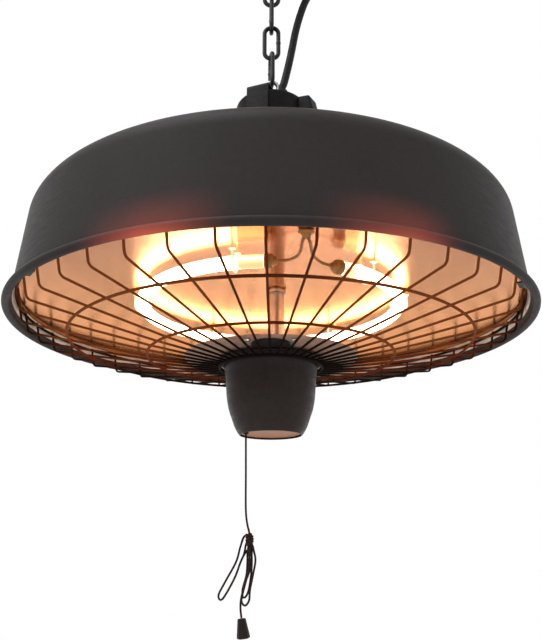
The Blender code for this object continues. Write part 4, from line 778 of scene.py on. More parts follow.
def makeGuardSteel(look):
    # dark wire, browned over the front; darker at the back, sides and middle, where the darkness at the back
    # and sides is painted shade; its emission is painted light from the tube
    material, tree, shader, coords = emptyMaterial("guardSteel")
    mottle = useGroup(tree, mottledColour, (-6, 0), {
        "Vector": coords["Object"], "Colour": (*look["hot"], 1), "Spread": 0.3, "Scale": 60
    })
    flat = addNode(
        tree, "ShaderNodeVectorMath", (-8, 3), {0: coords["Object"], 1: (1, 1, 0)}, operation="MULTIPLY"
    )
    reach = addNode(tree, "ShaderNodeVectorMath", (-7, 3), {0: flat.outputs[0]}, operation="LENGTH")
    parts = addNode(tree, "ShaderNodeSeparateXYZ", (-8, 4), {0: coords["Object"]})
    across = mathNode(tree, (-7, 4), "ABSOLUTE", parts.outputs["X"])
    # the back, sides and middle take the darker colour; at the back and sides it is painted shade
    aside = rangeNode(tree, (-6, 4), across, 0.170, 0.200, smooth=True)
    central = rangeNode(tree, (-6, 3), reach.outputs["Value"], 0.066, 0.096, 1.0, 0.0, smooth=True)
    behind = rangeNode(tree, (-6, 2), parts.outputs["Y"], 0.04, 0.10, smooth=True)
    outer = mathNode(tree, (-5, 4), "MAXIMUM", aside, behind)
    cool = mathNode(tree, (-5, 3), "MAXIMUM", outer, central)
    colour = mixNode(tree, (-4, 0), cool, mottle.outputs["Colour"], (*look["cool"], 1))
    skin = useGroup(tree, paintedSkin, (-6, 5), {
        "Vector": coords["Object"], "Peel Scale": 900, "Peel": 0.6, "Grain Scale": 4000, "Grain": 0.4
    })
    bump = bumpNode(tree, (-3, 5), skin.outputs[0], 0.00008)
    # painted light: emission standing in for the tube's light on the wires, brightest on the front wires off
    # the middle
    nearer = rangeNode(tree, (-6, 8), across, 0.020, 0.055, smooth=True)
    ahead = rangeNode(tree, (-6, 9), parts.outputs["Y"], -0.03, 0.02, 1.0, 0.0, smooth=True)
    lit = mathNode(tree, (-5, 8), "MULTIPLY", nearer, ahead)
    paintedTubeLight = mixNode(tree, (-5, 7), lit, (*look["glow"], 1), (*look["lit"], 1))
    glow = mixNode(tree, (-4, 7), cool, paintedTubeLight, (0, 0, 0, 1))
    fillInputs(tree, shader, {
        "Emission Color": glow, "Emission Strength": 1.0, "Base Color": colour, "Normal": bump,
        "Roughness": 0.7, "Specular IOR Level": 0.03,
    })
    return material


finishes["guardSteel"] = makeGuardSteel({
    "hot": (0.060, 0.014, 0.0045), "cool": (0.0100, 0.0052, 0.0036), "glow": (0.030, 0.0048, 0.0008),
    "lit": (0.10, 0.027, 0.006),
})


def makeCordBraid(name, look):
    material, tree, shader, coords = emptyMaterial(name)
    braid = useGroup(
        tree, braidedSleeve, (-6, 0), {"UV": coords["UV"], "Rows": look["rows"], "Strands": look["strands"]}
    )
    mottle = useGroup(tree, mottledColour, (-6, 2), {
        "Vector": coords["Object"], "Colour": (*look["colour"], 1), "Spread": 0.3, "Scale": 220
    })
    # the colour is darker in the grooves between strands: painted shade
    share = rangeNode(tree, (-4, 0), braid.outputs["Shade"], 0, 1, 0.45, 1.25)
    colour = addNode(
        tree, "ShaderNodeVectorMath", (-3, 0), {0: mottle.outputs["Colour"], "Scale": share},
        operation="SCALE",
    )
    bump = bumpNode(tree, (-3, 3), braid.outputs["Height"], look["depth"])
    fillInputs(tree, shader, {
        "Base Color": colour.outputs["Vector"], "Normal": bump, "Roughness": 0.82, "Specular IOR Level": 0.2
    })
    return material


finishes["cordBraid"] = makeCordBraid(
    "cordBraid", {"colour": (0.024, 0.0125, 0.0115), "rows": 640, "strands": 4, "depth": 0.00012}
)


def litStretch(tree, coords, settings):
    # 1 along the lit part of the tube, 0 at its cold ends; the angle runs from the front
    parts = addNode(tree, "ShaderNodeSeparateXYZ", (-8, 4), {0: coords["Object"]})
    ahead = mathNode(tree, (-7, 4), "MULTIPLY", parts.outputs["Y"], -1.0)
    turn = mathNode(tree, (-6, 4), "ARCTAN2", parts.outputs["X"], ahead)
    leftEnd = rangeNode(
        tree, (-5, 4), turn, settings["coldLeft"] - 0.05, settings["coldLeft"] + 0.01, 1.0, 0.0
    )
    rightEnd = rangeNode(tree, (-5, 6), turn, settings["coldRight"] - 0.01, settings["coldRight"] + 0.05)
    return mathNode(tree, (-4, 4), "MAXIMUM", leftEnd, rightEnd)


def makeQuartz(settings):
    # clear quartz that lets the lamp's light through, white-hot along the lit part; the cold ends get a faint
    # amber emission, which is painted light
    material, tree, shader, coords = emptyMaterial("quartzGlass")
    lit = litStretch(tree, coords, settings)
    streaks = noiseNode(tree, (-6, 0), coords["Object"], 260, 3)
    tint = mixNode(tree, (-4, 0), streaks, (*settings["tint"], 1), (1, 0.93, 0.80, 1))
    glow = mixNode(tree, (-3, 3), lit, (*settings["cold"], 1), (*settings["hot"], 1))
    bump = bumpNode(tree, (-3, 1), streaks, 0.0002)
    fillInputs(tree, shader, {
        "Base Color": tint, "Emission Color": glow, "Normal": bump,
        "Emission Strength": settings["shellGlow"], "Transmission Weight": 1.0, "IOR": 1.46,
        "Roughness": 0.05,
    })
    clear = addNode(tree, "ShaderNodeBsdfTransparent", (2, 2))
    path = addNode(tree, "ShaderNodeLightPath", (0, -2))
    mixed = addNode(tree, "ShaderNodeMixShader", (4, 0), {
        0: path.outputs["Is Shadow Ray"], 1: shader.outputs[0], 2: clear.outputs[0]
    })
    tree.links.new(mixed.outputs[0], tree.nodes["Material Output"].inputs["Surface"])
    return material


def makeFilament(name, settings, strength):
    material, tree, shader, coords = emptyMaterial(name)
    flicker = noiseNode(tree, (-4, 0), coords["Object"], 90, 2)
    glow = mixNode(tree, (-2, 0), flicker, (*settings["hot"], 1), (*settings["warm"], 1))
    fillInputs(tree, shader, {
        "Emission Color": glow, "Emission Strength": strength, "Base Color": (0.3, 0.2, 0.1, 1)
    })
    return material


tubeSettings = {
    "ring": 0.106, "radius": 0.005, "height": 0.0165, "startDeg": 29.9, "endDeg": 356.1, "straight": 0.002,
    "litStartDeg": 36.5, "litEndDeg": 346.5, "coldLeft": math.radians(-13.5),
    "coldRight": math.radians(36.5), "tint": (1.0, 0.80, 0.52), "hot": (1.0, 0.82, 0.60),
    # the cold ends' emission colour is painted light
    "warm": (1.0, 0.72, 0.46), "cold": (0.17, 0.115, 0.055), "shellGlow": 3.0, "coreGlow": 12.0,
    "core": 0.0024, "coil": 0.0034, "coilWire": 0.0004, "turns": 170,
}
finishes["quartzGlass"] = makeQuartz(tubeSettings)
finishes["glowingCore"] = makeFilament("glowingCore", tubeSettings, tubeSettings["coreGlow"])
finishes["filamentWire"] = makeFilament("filamentWire", tubeSettings, 3.0)
finishes["filamentWire"].cycles.emission_sampling = "NONE"
print("finishes ready:", ", ".join(finishes))


# Camera, fitted to the photograph

cameraSettings = {
    "back": 0.5991, "belowRim": 0.1804, "tiltDeg": 107.29, "rollDeg": 0.10, "focal": 752.7, "tall": 640
}
lens = bpy.data.cameras.new("photoCamera")
lens.lens = cameraSettings["focal"] / cameraSettings["tall"] * 36
lens.clip_start = 0.01
photoCamera = bpy.data.objects.new("photoCamera", lens)
bpy.context.scene.collection.objects.link(photoCamera)
photoCamera.matrix_world = (
    Matrix.Translation((0, -cameraSettings["back"], rimZ - cameraSettings["belowRim"]))
    @ Matrix.Rotation(math.radians(cameraSettings["tiltDeg"]), 4, "X")
    @ Matrix.Rotation(math.radians(cameraSettings["rollDeg"]), 4, "Z")
)
bpy.context.scene.camera = photoCamera


# Mains cable, held up by the ceiling: five lengths, one for each joint of the chain

cableSettings = {
    "radius": 0.0034, "start": (0.0095, -0.020, -0.2143), "end": (0.058, -0.003, -0.0176),
    "spacing": 0.0028, "sides": 20,
    "route": (
        (0.0104, -0.0196, 0.2190), (0.0121, -0.0186, 0.2257), (0.0158, -0.0164, 0.2441),
        (0.0191, -0.0135, 0.2634), (0.0223, -0.0107, 0.2831), (0.0267, -0.0088, 0.3025),
        (0.0329, -0.0068, 0.3223), (0.0430, -0.0050, 0.3400), (0.0550, -0.0040, 0.3565),
        (0.0635, -0.0034, 0.3730), (0.0648, -0.0030, 0.3880), (0.0603, -0.0030, 0.3990),
    ),
}


def makeMainsCable(settings):
    start = Vector(settings["start"])
    end = Vector(settings["end"])
    stub = Vector((0, 0, settings["radius"]))
    route = [start + stub] + [Vector((x, y, rimZ + z)) for x, y, z in settings["route"]] + [end - stub]
    line = [start] + smoothRoute(route, settings["spacing"]) + [end]
    line.reverse()
    total = routeLength(line)
    cuts = [0]
    walked = 0.0
    for index in range(1, len(line)):
        walked += (line[index] - line[index - 1]).length
        if len(cuts) < 5 and walked >= total * len(cuts) / 5 - settings["spacing"] / 2:
            cuts.append(index)
    cuts.append(len(line) - 1)
    lengths = []
    for index in range(5):
        path = line[cuts[index]:cuts[index + 1] + 1]
        cable = tubePiece(f"mainsCable_{index + 1}", path, settings["radius"], settings["sides"])
        cable.data.materials.append(finishes["cableRubber"])
        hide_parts("mains_cable")
        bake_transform(cable)
        lengths.append(round(routeLength(path), 4))
    print("mains cable, metres:", lengths)
    return line


cableLine = makeMainsCable(cableSettings)


# Pull cord with its knot, loops, tail and knob

cordSettings = {
    "radius": 0.0008, "out": (-0.0196, -0.006), "sides": 12, "spacing": 0.0016,
    "knot": Vector((-0.0159, -0.0060, rimZ - 0.16990)),
    "cord": ((-0.0034, 0, 0.0500), (-0.0031, 0, 0.0222), (-0.0018, 0, 0.0111), (-0.0004, 0, 0.0058)),
    "loops": (
        (0.0030, -0.0030, -0.0068), (0.0046, -0.0031, -0.0147), (0.0028, -0.0031, -0.0254),
        (0.0007, -0.0031, -0.0360), (0.0001, -0.0031, -0.0431), (-0.0029, -0.0031, -0.0466),
        (-0.0055, -0.0031, -0.0431), (-0.0037, -0.0031, -0.0346), (-0.0005, -0.0031, -0.0219),
        (0.0001, -0.0028, -0.0100), (-0.0009, -0.0006, -0.0069), (-0.0016, 0.0014, -0.0100),
        (-0.0016, 0.0017, -0.0168), (-0.0022, 0.0017, -0.0254), (-0.0050, 0.0017, -0.0360),
        (-0.0041, 0.0017, -0.0416), (-0.0008, 0.0017, -0.0374), (0.0013, 0.0017, -0.0254),
        (0.0018, 0.0018, -0.0150), (0.0012, 0.0024, -0.0092), (-0.0009, 0.0038, -0.0070),
        (-0.0036, 0.0034, -0.0100), (-0.0067, 0.0032, -0.0161), (-0.0107, 0.0030, -0.0268),
        (-0.0173, 0.0028, -0.0388), (-0.0210, 0.0026, -0.0431), (-0.0228, 0.0024, -0.0395),
        (-0.0181, 0.0020, -0.0304), (-0.0101, 0.0014, -0.0161), (-0.0072, 0.0008, -0.0060),
        (-0.0052, 0.0002, 0.0002),
    ),
    "tail": (
        (0.0018, -0.0007, -0.0058), (0.0016, -0.0007, -0.0140), (0.0003, -0.0007, -0.0220),
        (-0.0030, -0.0007, -0.0311), (-0.0058, -0.0007, -0.0416), (-0.0062, -0.0007, -0.0487),
        (-0.0054, -0.0007, -0.0552),
    ),
    "wrap": 0.0025, "wraps": 4.6, "wrapRise": 0.0084,
    "strands": (
        ((0.0, 0.0, 0.0030), (-0.0003, 0.0, 0.0050), (-0.0009, 0.0, 0.0080)),
        (
            (0.0012, -0.0012, -0.0026), (0.0026, -0.0026, -0.0050), (0.0031, -0.0030, -0.0070),
            (0.0036, -0.0031, -0.0090),
        ),
        (
            (0.0008, -0.0004, -0.0026), (0.0016, -0.0006, -0.0045), (0.0018, -0.0007, -0.0062),
            (0.0017, -0.0007, -0.0084),
        ),
        (
            (-0.0060, 0.0004, -0.0022), (-0.0052, 0.0002, 0.0004), (-0.0040, 0.0001, 0.0024),
            (-0.0022, 0.0, 0.0033), (0.0, 0.0, 0.0028),
        ),
        (
            (0.0001, -0.0029, -0.0120), (0.0004, -0.0022, -0.0080), (0.0006, -0.0010, -0.0045),
            (0.0002, 0.0, -0.0010),
        ),
        (
            (-0.0016, 0.0015, -0.0120), (-0.0013, 0.0010, -0.0080), (-0.0008, 0.0004, -0.0045),
            (0.0, 0.0, -0.0010),
        ),
        (
            (0.0015, 0.0021, -0.0120), (0.0012, 0.0016, -0.0080), (0.0008, 0.0008, -0.0045),
            (0.0, 0.0, -0.0010),
        ),
        (
            (-0.0046, 0.0033, -0.0120), (-0.0036, 0.0028, -0.0078), (-0.0028, 0.0018, -0.0035),
            (-0.0012, 0.0006, 0.0005),
        ),
    ),
    "knobTop": 0.0030, "knobLow": 0.0050, "knobTall": 0.0140, "knobEdge": 0.0010, "knobLeanDeg": 7.0,
}


def makeKnot(settings):
    # wraps of the cord round its own strands, which run into it from every length of the cord
    middle = settings["knot"]
    radius = settings["radius"]
    points = []
    steps = 110
    for step in range(steps + 1):
        share = step / steps
        angle = math.tau * settings["wraps"] * share
        belly = math.sin(math.pi * share) ** 0.45
        reach = radius + (settings["wrap"] - radius) * belly
        height = settings["wrapRise"] * (0.5 - share)
        points.append(middle + Vector((reach * math.cos(angle), reach * math.sin(angle), height)))
    bm = bmesh.new()
    addTube(bm, points, radius * 1.06, settings["sides"])
    core = [
        (0, 0.0052), (0.0009, 0.0050), (0.0019, 0.0036), (0.0022, 0.0), (0.0019, -0.0036),
        (0.0009, -0.0050), (0, -0.0052),
    ]
    addTurned(bm, core, Matrix.Translation(middle), 24)
    over = []
    for step in range(15):
        angle = math.radians(-160 + 9 * step)
        over.append(
            middle + Vector((0.0027 * math.cos(angle), 0.0026 * math.sin(angle), 0.0040 - 0.0006 * step))
        )
    addTube(bm, over, radius, settings["sides"])
    for strand in settings["strands"]:
        addTube(
            bm, smoothRoute([middle + Vector(point) for point in strand], 0.0006), radius * 1.04,
            settings["sides"],
        )
    return meshPiece("cordKnot", bm, 60, 0.000002)


def makeKnob(settings):
    # a moulded weight, tapered, with eight soft flats
    lean = math.radians(settings["knobLeanDeg"])
    along = Vector((math.sin(lean), 0, -math.cos(lean)))
    place = settings["knot"] + Vector(settings["tail"][-1]) + along * 0.0003
    outline = roundCorners(
        (
            (0.0012, 0), (settings["knobTop"], 0),
            (settings["knobLow"], -settings["knobTall"] + settings["knobEdge"]),
            (settings["knobLow"] - settings["knobEdge"], -settings["knobTall"]),
            (0.0, -settings["knobTall"]),
        ),
        0.0005, 4,
    )
    outline = [(0.0, -0.0006), (0.0011, -0.0006)] + outline
    turn = Matrix.Translation(place) @ Matrix.Rotation(-lean, 4, "Y")

    def flats(angle):
        away = (angle % (math.tau / 8)) - math.tau / 16
        return 0.93 / math.cos(away) * (1 - 0.012 * abs(away) / (math.tau / 16))

    bm = bmesh.new()
    addTurned(bm, outline, turn, 64, flats)
    return meshPiece("pullKnob", bm, 24)


def makePullCord(settings):
    knot = settings["knot"]
    x, y = settings["out"]
    bush = Vector((x, y, rimZ - 0.0900))
    start = Vector((x, y, rimZ - 0.0647 - 0.0003))
    route = [start, bush] + [knot + Vector(point) for point in settings["cord"]]
    knotPiece = onPiece(makeKnot(settings), "cordBraid", "pull_switch", "cord_fabric", "cord_knot")
    knobPiece = onPiece(makeKnob(settings), "knobPlastic", "pull_switch", "black_plastic", "pull_knob")
    parts = (
        ("pullCord", "pull_cord", route, bush, "knot", "hanging", [knotPiece]),
        (
            "cordLoops", "cord_loops", [knot + Vector(point) for point in settings["loops"]], None, "knot",
            "hanging", [],
        ),
        (
            "cordTail", "cord_tail", [knot + Vector(point) for point in settings["tail"]], None, "fitting",
            "hanging", [knobPiece],
        ),
    )
    for name, node, points, leaves, ending, lay, carried in parts:
        path = smoothRoute(points, settings["spacing"])
        cord = tubePiece(name, path, settings["radius"], settings["sides"], 60, 0.000002)
        piece = onPiece(cord, "cordBraid", "pull_switch", "cord_fabric", node)
        print(f"{name}: {routeLength(path):.4f} m")


makePullCord(cordSettings)


# Ceiling rose, hook and the cable's gland

roseSettings = {
    "radius": 0.085, "thickness": 0.004, "boss": 0.009, "bossTall": 0.008, "screwReach": 0.050,
    "screwHole": 0.0025,
}


def makeRose(settings):
    thick = settings["thickness"]
    low = -thick - settings["bossTall"]
    radius = settings["radius"]
    boss = settings["boss"]
    profile = (
        (radius - 0.0005, 0.0), (radius, -0.0005), (radius, -thick + 0.0012), (radius - 0.0014, -thick),
        (boss + 0.0030, -thick), (boss, -thick - 0.0016), (boss, low + 0.0006), (boss - 0.0006, low),
        (0.0028, low),
    )
    outline = [(0.0, 0.0)] + roundCorners(profile, 0.0006, 4) + [(0.0028, -thick), (0.0, -thick)]
    rose = turnedPiece("ceilingRose", outline, steps=128)
    for side in (-1, 1):
        hole = turnedPiece(
            "hole",
            ((0, 0.002), (settings["screwHole"], 0.002), (settings["screwHole"], -0.012), (0, -0.012)),
            (0, side * settings["screwReach"], 0), 32,
        )
        rose = combined(rose, hole, "DIFFERENCE")
    return rose


hookSettings = {
    "hinge": -0.0772, "bowl": 0.0092, "top": -0.0043, "radius": 0.0025, "thread": 0.00022, "threaded": 0.62,
    "steps": 96,
}


def makeHook(settings):
    # a screw hook: threaded above, a bowl below
    bowl = Vector((0, 0, settings["hinge"] + settings["bowl"]))
    shares = (
        (0.0, 2.3), (0.12, 1.75), (0.55, 1.12), (0.90, 0.55), (1.0, 0.0), (0.707, -0.707), (0.0, -1.0),
        (-0.707, -0.707), (-1.0, 0.0), (-0.96, 0.45),
    )
    bend = smoothRoute([bowl + settings["bowl"] * Vector((0, across, up)) for across, up in shares], 0.0011)
    top = Vector((0, 0, settings["top"]))
    steps = settings["steps"]
    path = [top.lerp(bend[0], step / steps) for step in range(steps)] + bend
    radii = [settings["radius"]] * len(path)
    for index in range(0, math.ceil(steps * settings["threaded"]), 3):
        radii[index] -= settings["thread"]
    radii[-2:] = (0.0023, 0.0016)
    return tubePiece("ceilingHook", path, radii, 20, 50, 0.000002)


glandSettings = {
    "x": 0.058, "y": -0.003, "top": -0.0043, "ribs": 26, "ribCircle": 0.0083, "ribTall": 0.0058,
    "rib": 0.00035, "ribLow": -0.0112,
}


def makeRibTree(material):
    # upright ribs on a circle
    tree, given = shapeTree(
        "ribsOnCircle",
        (
            ("Count", "Int", 24), ("Circle Radius", "Float", 0.01), ("Rib Radius", "Float", 0.0004),
            ("Rib Length", "Float", 0.006), ("Middle", "Vector", (0, 0, 0)),
        ),
    )
    circle = circleNode(tree, (0, 0), given["Count"], given["Circle Radius"])
    high = addNode(tree, "ShaderNodeCombineXYZ", (0, 2), {"Z": given["Rib Length"]})
    line = addNode(
        tree, "GeometryNodeCurvePrimitiveLine", (1, 2), {"Start": (0, 0, 0), "End": high.outputs[0]}
    )
    profile = circleNode(tree, (1, 3), 8, given["Rib Radius"])
    rib = addNode(tree, "GeometryNodeCurveToMesh", (2, 2), {
        "Curve": line.outputs[0], "Profile Curve": profile, "Fill Caps": True
    })
    ribs = addNode(
        tree, "GeometryNodeInstanceOnPoints", (3, 0), {"Points": circle, "Instance": rib.outputs[0]}
    )
    moved = addNode(
        tree, "GeometryNodeTransform", (4, 0), {"Geometry": ribs.outputs[0], "Translation": given["Middle"]}
    )
    return endTree(tree, moved.outputs[0], material)


def makeGland(settings):
    outline = roundCorners(
        (
            (0.0, 0.0), (0.0080, 0.0), (0.0085, -0.0008), (0.0085, -0.0071), (0.0079, -0.0079),
            (0.0068, -0.0080), (0.0062, -0.0125), (0.0054, -0.0130), (0.0, -0.0130),
        ),
        0.0005, 4,
    )
    return turnedPiece("ceilingGland", outline, (settings["x"], settings["y"], settings["top"]), 48)


onPiece(makeRose(roseSettings), "darkEnamel", "ceiling_mount", "dark_enamel", "ceiling_rose")
onPiece(makeHook(hookSettings), "blackSteel", "ceiling_mount", "black_steel", "ceiling_hook")
onPiece(makeGland(glandSettings), "capPlastic", "ceiling_mount", "black_plastic", "ceiling_gland")
ribs = grown("glandRibs", pointsObject([(0, 0, 0)]), makeRibTree(finishes["capPlastic"]), {
    "Count": glandSettings["ribs"], "Circle Radius": glandSettings["ribCircle"],
    "Rib Radius": glandSettings["rib"], "Rib Length": glandSettings["ribTall"],
    "Middle": (glandSettings["x"], glandSettings["y"], glandSettings["ribLow"]),
})
onPiece(ribs, "capPlastic", "ceiling_mount", "black_plastic")


def makeNut(name, radius, bore, height, place):
    bm = bmesh.new()
    addNut(bm, radius, bore, height, Matrix.Translation(place))
    return meshPiece(name, bm, 22)


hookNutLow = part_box("hook_nut")[0].z
onPiece(
    makeNut("hookNut", 0.0058, 0.0026, 0.004, (0, 0, hookNutLow)), "zincPlate", "ceiling_mount", "zinc",
    "hook_nut",
)


bootSettings = {"length": 0.0235, "top": 0.0060, "taper": 0.0019, "tip": 0.0037, "groove": 0.0003}


def makeBoot(settings):
    # the cable's tapered strain relief under the gland, with soft grooves
    path = []
    walked = 0.0
    for a, b in zip(cableLine, cableLine[1:]):
        path.append(a)
        walked += (b - a).length
        if walked > settings["length"]:
            break
    fine = smoothRoute(path, 0.00075)
    radii = []
    for index in range(len(fine)):
        share = index / (len(fine) - 1)
        groove = settings["groove"] if index % 4 == 2 and 0.12 < share < 0.9 else 0.0
        radii.append(settings["top"] - settings["taper"] * share - groove)
    radii[-1] = settings["tip"]
    return tubePiece("ceilingBoot", fine, radii, 24, 50, 0.000002)


onPiece(makeBoot(bootSettings), "cableRubber", "ceiling_mount", "black_rubber")
print("ceiling parts ready")


# Chain

linkSettings = {
    "innerLength": 0.0301, "innerWidth": 0.009, "wire": 0.002, "weld": 0.16, "turnsDeg": (0, 92, -2, 100)
}


def makeLinkTree(material):
    # a stadium of round wire with the swelling of its weld on one side
    tree, given = shapeTree(
        "chainLink",
        (
            ("Inner Length", "Float", 0.03), ("Inner Width", "Float", 0.009),
            ("Wire Radius", "Float", 0.002), ("Weld Swell", "Float", 0.1), ("Turn", "Vector", (0, 0, 0)),
            ("Middle", "Vector", (0, 0, 0)),
        ),
    )
    wide = mathNode(tree, (0, 0), "MULTIPLY_ADD", given["Wire Radius"], 2.0, given["Inner Width"])
    tall = mathNode(tree, (0, 1), "MULTIPLY_ADD", given["Wire Radius"], 2.0, given["Inner Length"])
    frameLine = addNode(
        tree, "GeometryNodeCurvePrimitiveQuadrilateral", (1, 0), {"Width": wide, "Height": tall}
    )
    bend = mathNode(tree, (1, 2), "MULTIPLY", wide, 0.4999)
    stadium = addNode(
        tree, "GeometryNodeFilletCurve", (2, 0),
        {"Curve": frameLine.outputs[0], "Radius": bend, "Limit Radius": True, "Count": 16}, mode="POLY",
    )
    even = addNode(tree, "GeometryNodeResampleCurve", (3, 0), {"Curve": stadium.outputs[0], "Count": 96})
    place = addNode(tree, "GeometryNodeInputPosition", (2, 3))
    parts = addNode(tree, "ShaderNodeSeparateXYZ", (3, 3), {0: place.outputs[0]})
    away = mathNode(tree, (4, 3), "ABSOLUTE", parts.outputs["Y"])
    near = rangeNode(tree, (5, 3), away, 0.0004, 0.0017, 1, 0)
    oneSide = mathNode(tree, (4, 4), "GREATER_THAN", parts.outputs["X"], 0.0)
    both = mathNode(tree, (6, 3), "MULTIPLY", near, oneSide)
    swell = mathNode(tree, (7, 3), "MULTIPLY_ADD", both, given["Weld Swell"], 1.0)
    profile = circleNode(tree, (4, 1), 18, given["Wire Radius"])
    wire = addNode(tree, "GeometryNodeCurveToMesh", (5, 0), {
        "Curve": even.outputs[0], "Profile Curve": profile, "Scale": swell
    })
    placed = addNode(tree, "GeometryNodeTransform", (6, 0), {
        "Geometry": wire.outputs[0], "Translation": given["Middle"], "Rotation": given["Turn"]
    })
    return endTree(tree, placed.outputs[0], material)


linkTree = makeLinkTree(finishes["chainSteel"])
for index in range(4):
    turn = math.radians(linkSettings["turnsDeg"][index])
    link = grown(f"chainLink_{index + 1}", pointsObject([(0, 0, 0)]), linkTree, {
        "Inner Length": linkSettings["innerLength"], "Inner Width": linkSettings["innerWidth"],
        "Wire Radius": linkSettings["wire"], "Weld Swell": linkSettings["weld"],
        "Turn": (math.pi / 2, 0, turn), "Middle": (0, 0, firstLinkZ - index * linkPitch),
    })
    onPiece(link, "chainSteel", f"link_{index + 1}", "black_steel", f"chain_link_{index + 1}")
print("chain ready")


# Eye bolt, its nuts and the hanger strap

eyeSettings = {
    "ring": 0.0062, "wire": 0.0018, "thread": 0.0022, "groove": 0.00196, "pitch": 0.0005, "below": 0.0026
}


def makeEyeBolt(settings):
    bm = bmesh.new()
    ring = arcPoints((0, eyeZ), settings["ring"], 0, 360, 48)[:-1]
    addTube(bm, [Vector((point.x, 0, point.y)) for point in ring], settings["wire"], 18, closed=True)
    top = eyeZ - settings["ring"]
    low = strapUnder - settings["below"]
    outline = [(0.0, top + 0.0012), (0.0024, top + 0.0002)]
    height = top - 0.0014
    while height > low + 0.0004:
        outline += [(settings["thread"], height), (settings["groove"], height - settings["pitch"] / 2)]
        height -= settings["pitch"]
    outline += [(0.0017, low), (0.0, low)]
    addTurned(bm, outline, None, 32)
    return meshPiece("eyeBolt", bm, 50, 0.000002)


onPiece(makeEyeBolt(eyeSettings), "zincPlate", "heater", "zinc", "eye_bolt")
onPiece(
    makeNut("eyeNutTop", 0.0046, 0.0022, 0.0034, (0, 0, strapTop + 0.0003)), "zincPlate", "heater", "zinc",
    "eye_nut_top",
)
onPiece(
    makeNut("eyeNutLow", 0.0046, 0.0022, 0.0023, (0, 0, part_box("eye_nut_low")[0].z)), "zincPlate", "heater",
    "zinc", "eye_nut_low",
)

strapSettings = {
    "width": 0.020, "thickness": 0.0018, "bend": 0.0035, "foot": 0.0125, "yawDeg": -21.7, "middle": 0.0329,
    "screwReach": 0.0409, "screwHead": 0.0038, "screwTall": 0.0022,
}


def makeStrap(settings):
    middle = settings["middle"]
    half = settings["thickness"] / 2
    low = seatTop + 0.0003 + half
    high = strapTop - half
    bend = settings["bend"]
    side = [Vector((middle + settings["foot"], low))]
    side += arcPoints((middle + bend, low + bend), bend, 270, 180, 8)
    side += arcPoints((middle - bend, high - bend), bend, 0, 90, 8)
    line = side + [Vector((-point.x, point.y)) for point in reversed(side)]
    turn = Matrix.Rotation(math.radians(settings["yawDeg"]), 4, "Z")
    path = [turn @ Vector((0, -point.x, point.y)) for point in line]
    bm = bmesh.new()
    addStrip(bm, path, turn @ Vector((1, 0, 0)), settings["width"], settings["thickness"], 0.00035)
    return meshPiece("hangerStrap", bm, 30)


onPiece(makeStrap(strapSettings), "strapEnamel", "heater", "dark_enamel", "hanger_strap")


def makeScrewHead(radius, tall, tail, shank):
    # a pan head with a cross recess, its seat at z = 0
    profile = ((radius * 0.45, tall), (radius * 0.97, tall * 0.55), (radius, 0.0), (shank, 0.0))
    outline = [(0.0, tall)] + roundCorners(profile, radius * 0.25, 4) + [(shank, -tail), (0.0, -tail)]
    head = turnedPiece("screwHead", outline, (0, 0, 0), 40)
    arm = radius * 0.55
    half = radius * 0.10
    cross = []
    for quarter in range(4):
        turn = Matrix.Rotation(math.radians(90 * quarter), 2)
        cross += [turn @ Vector(corner) for corner in ((half, half), (half, arm), (-half, arm))]
    bm = bmesh.new()
    addPrism(bm, cross, tall * 0.9, Matrix.Translation((0, 0, tall)))
    return combined(head, meshPiece("cross", bm), "DIFFERENCE")


def makeScrewTree(material):
    # one screw on every point of the base mesh
    tree, given = shapeTree(
        "screwsOnPoints", (("Screw", "Object", None), ("Turn", "Vector", (0, 0, 0)), ("Size", "Float", 1.0))
    )
    head = addNode(tree, "GeometryNodeObjectInfo", (0, 2), {"Object": given["Screw"]})
    points = addNode(tree, "GeometryNodeMeshToPoints", (0, 0), {"Mesh": given["Geometry"]})
    placed = addNode(tree, "GeometryNodeInstanceOnPoints", (2, 0), {
        "Points": points.outputs[0], "Instance": head.outputs["Geometry"], "Rotation": given["Turn"],
        "Scale": given["Size"],
    })
    return endTree(tree, placed.outputs[0], material)


screwTree = makeScrewTree(finishes["zincPlate"])


def screwPiece(name, points, head, turn=(0, 0, 0)):
    return grown(name, pointsObject(points), screwTree, {"Screw": head, "Turn": turn, "Size": 1.0}, 28)


footTop = seatTop + 0.0003 + strapSettings["thickness"]
strapScrew = makeScrewHead(strapSettings["screwHead"], strapSettings["screwTall"], 0.0070, 0.0019)
screwPlaces = [
    aroundFront(strapSettings["yawDeg"] + turn, strapSettings["screwReach"], footTop + 0.0003)
    for turn in (0, 180)
]
strapScrews = screwPiece("strapScrews", screwPlaces, strapScrew)
bpy.data.objects.remove(strapScrew)
onPiece(strapScrews, "zincPlate", "heater", "zinc", "strap_screw_1", "strap_screw_2")
print("strap and screws ready")


# Top cap with its moulded lug and grommet

cableHole = (0.0095, -0.020, capTop)
capSettings = {
    "radius": 0.0317, "tall": 0.0663, "wall": 0.002, "edge": 0.0034, "lugWide": 0.014, "lugTurnDeg": 60
}


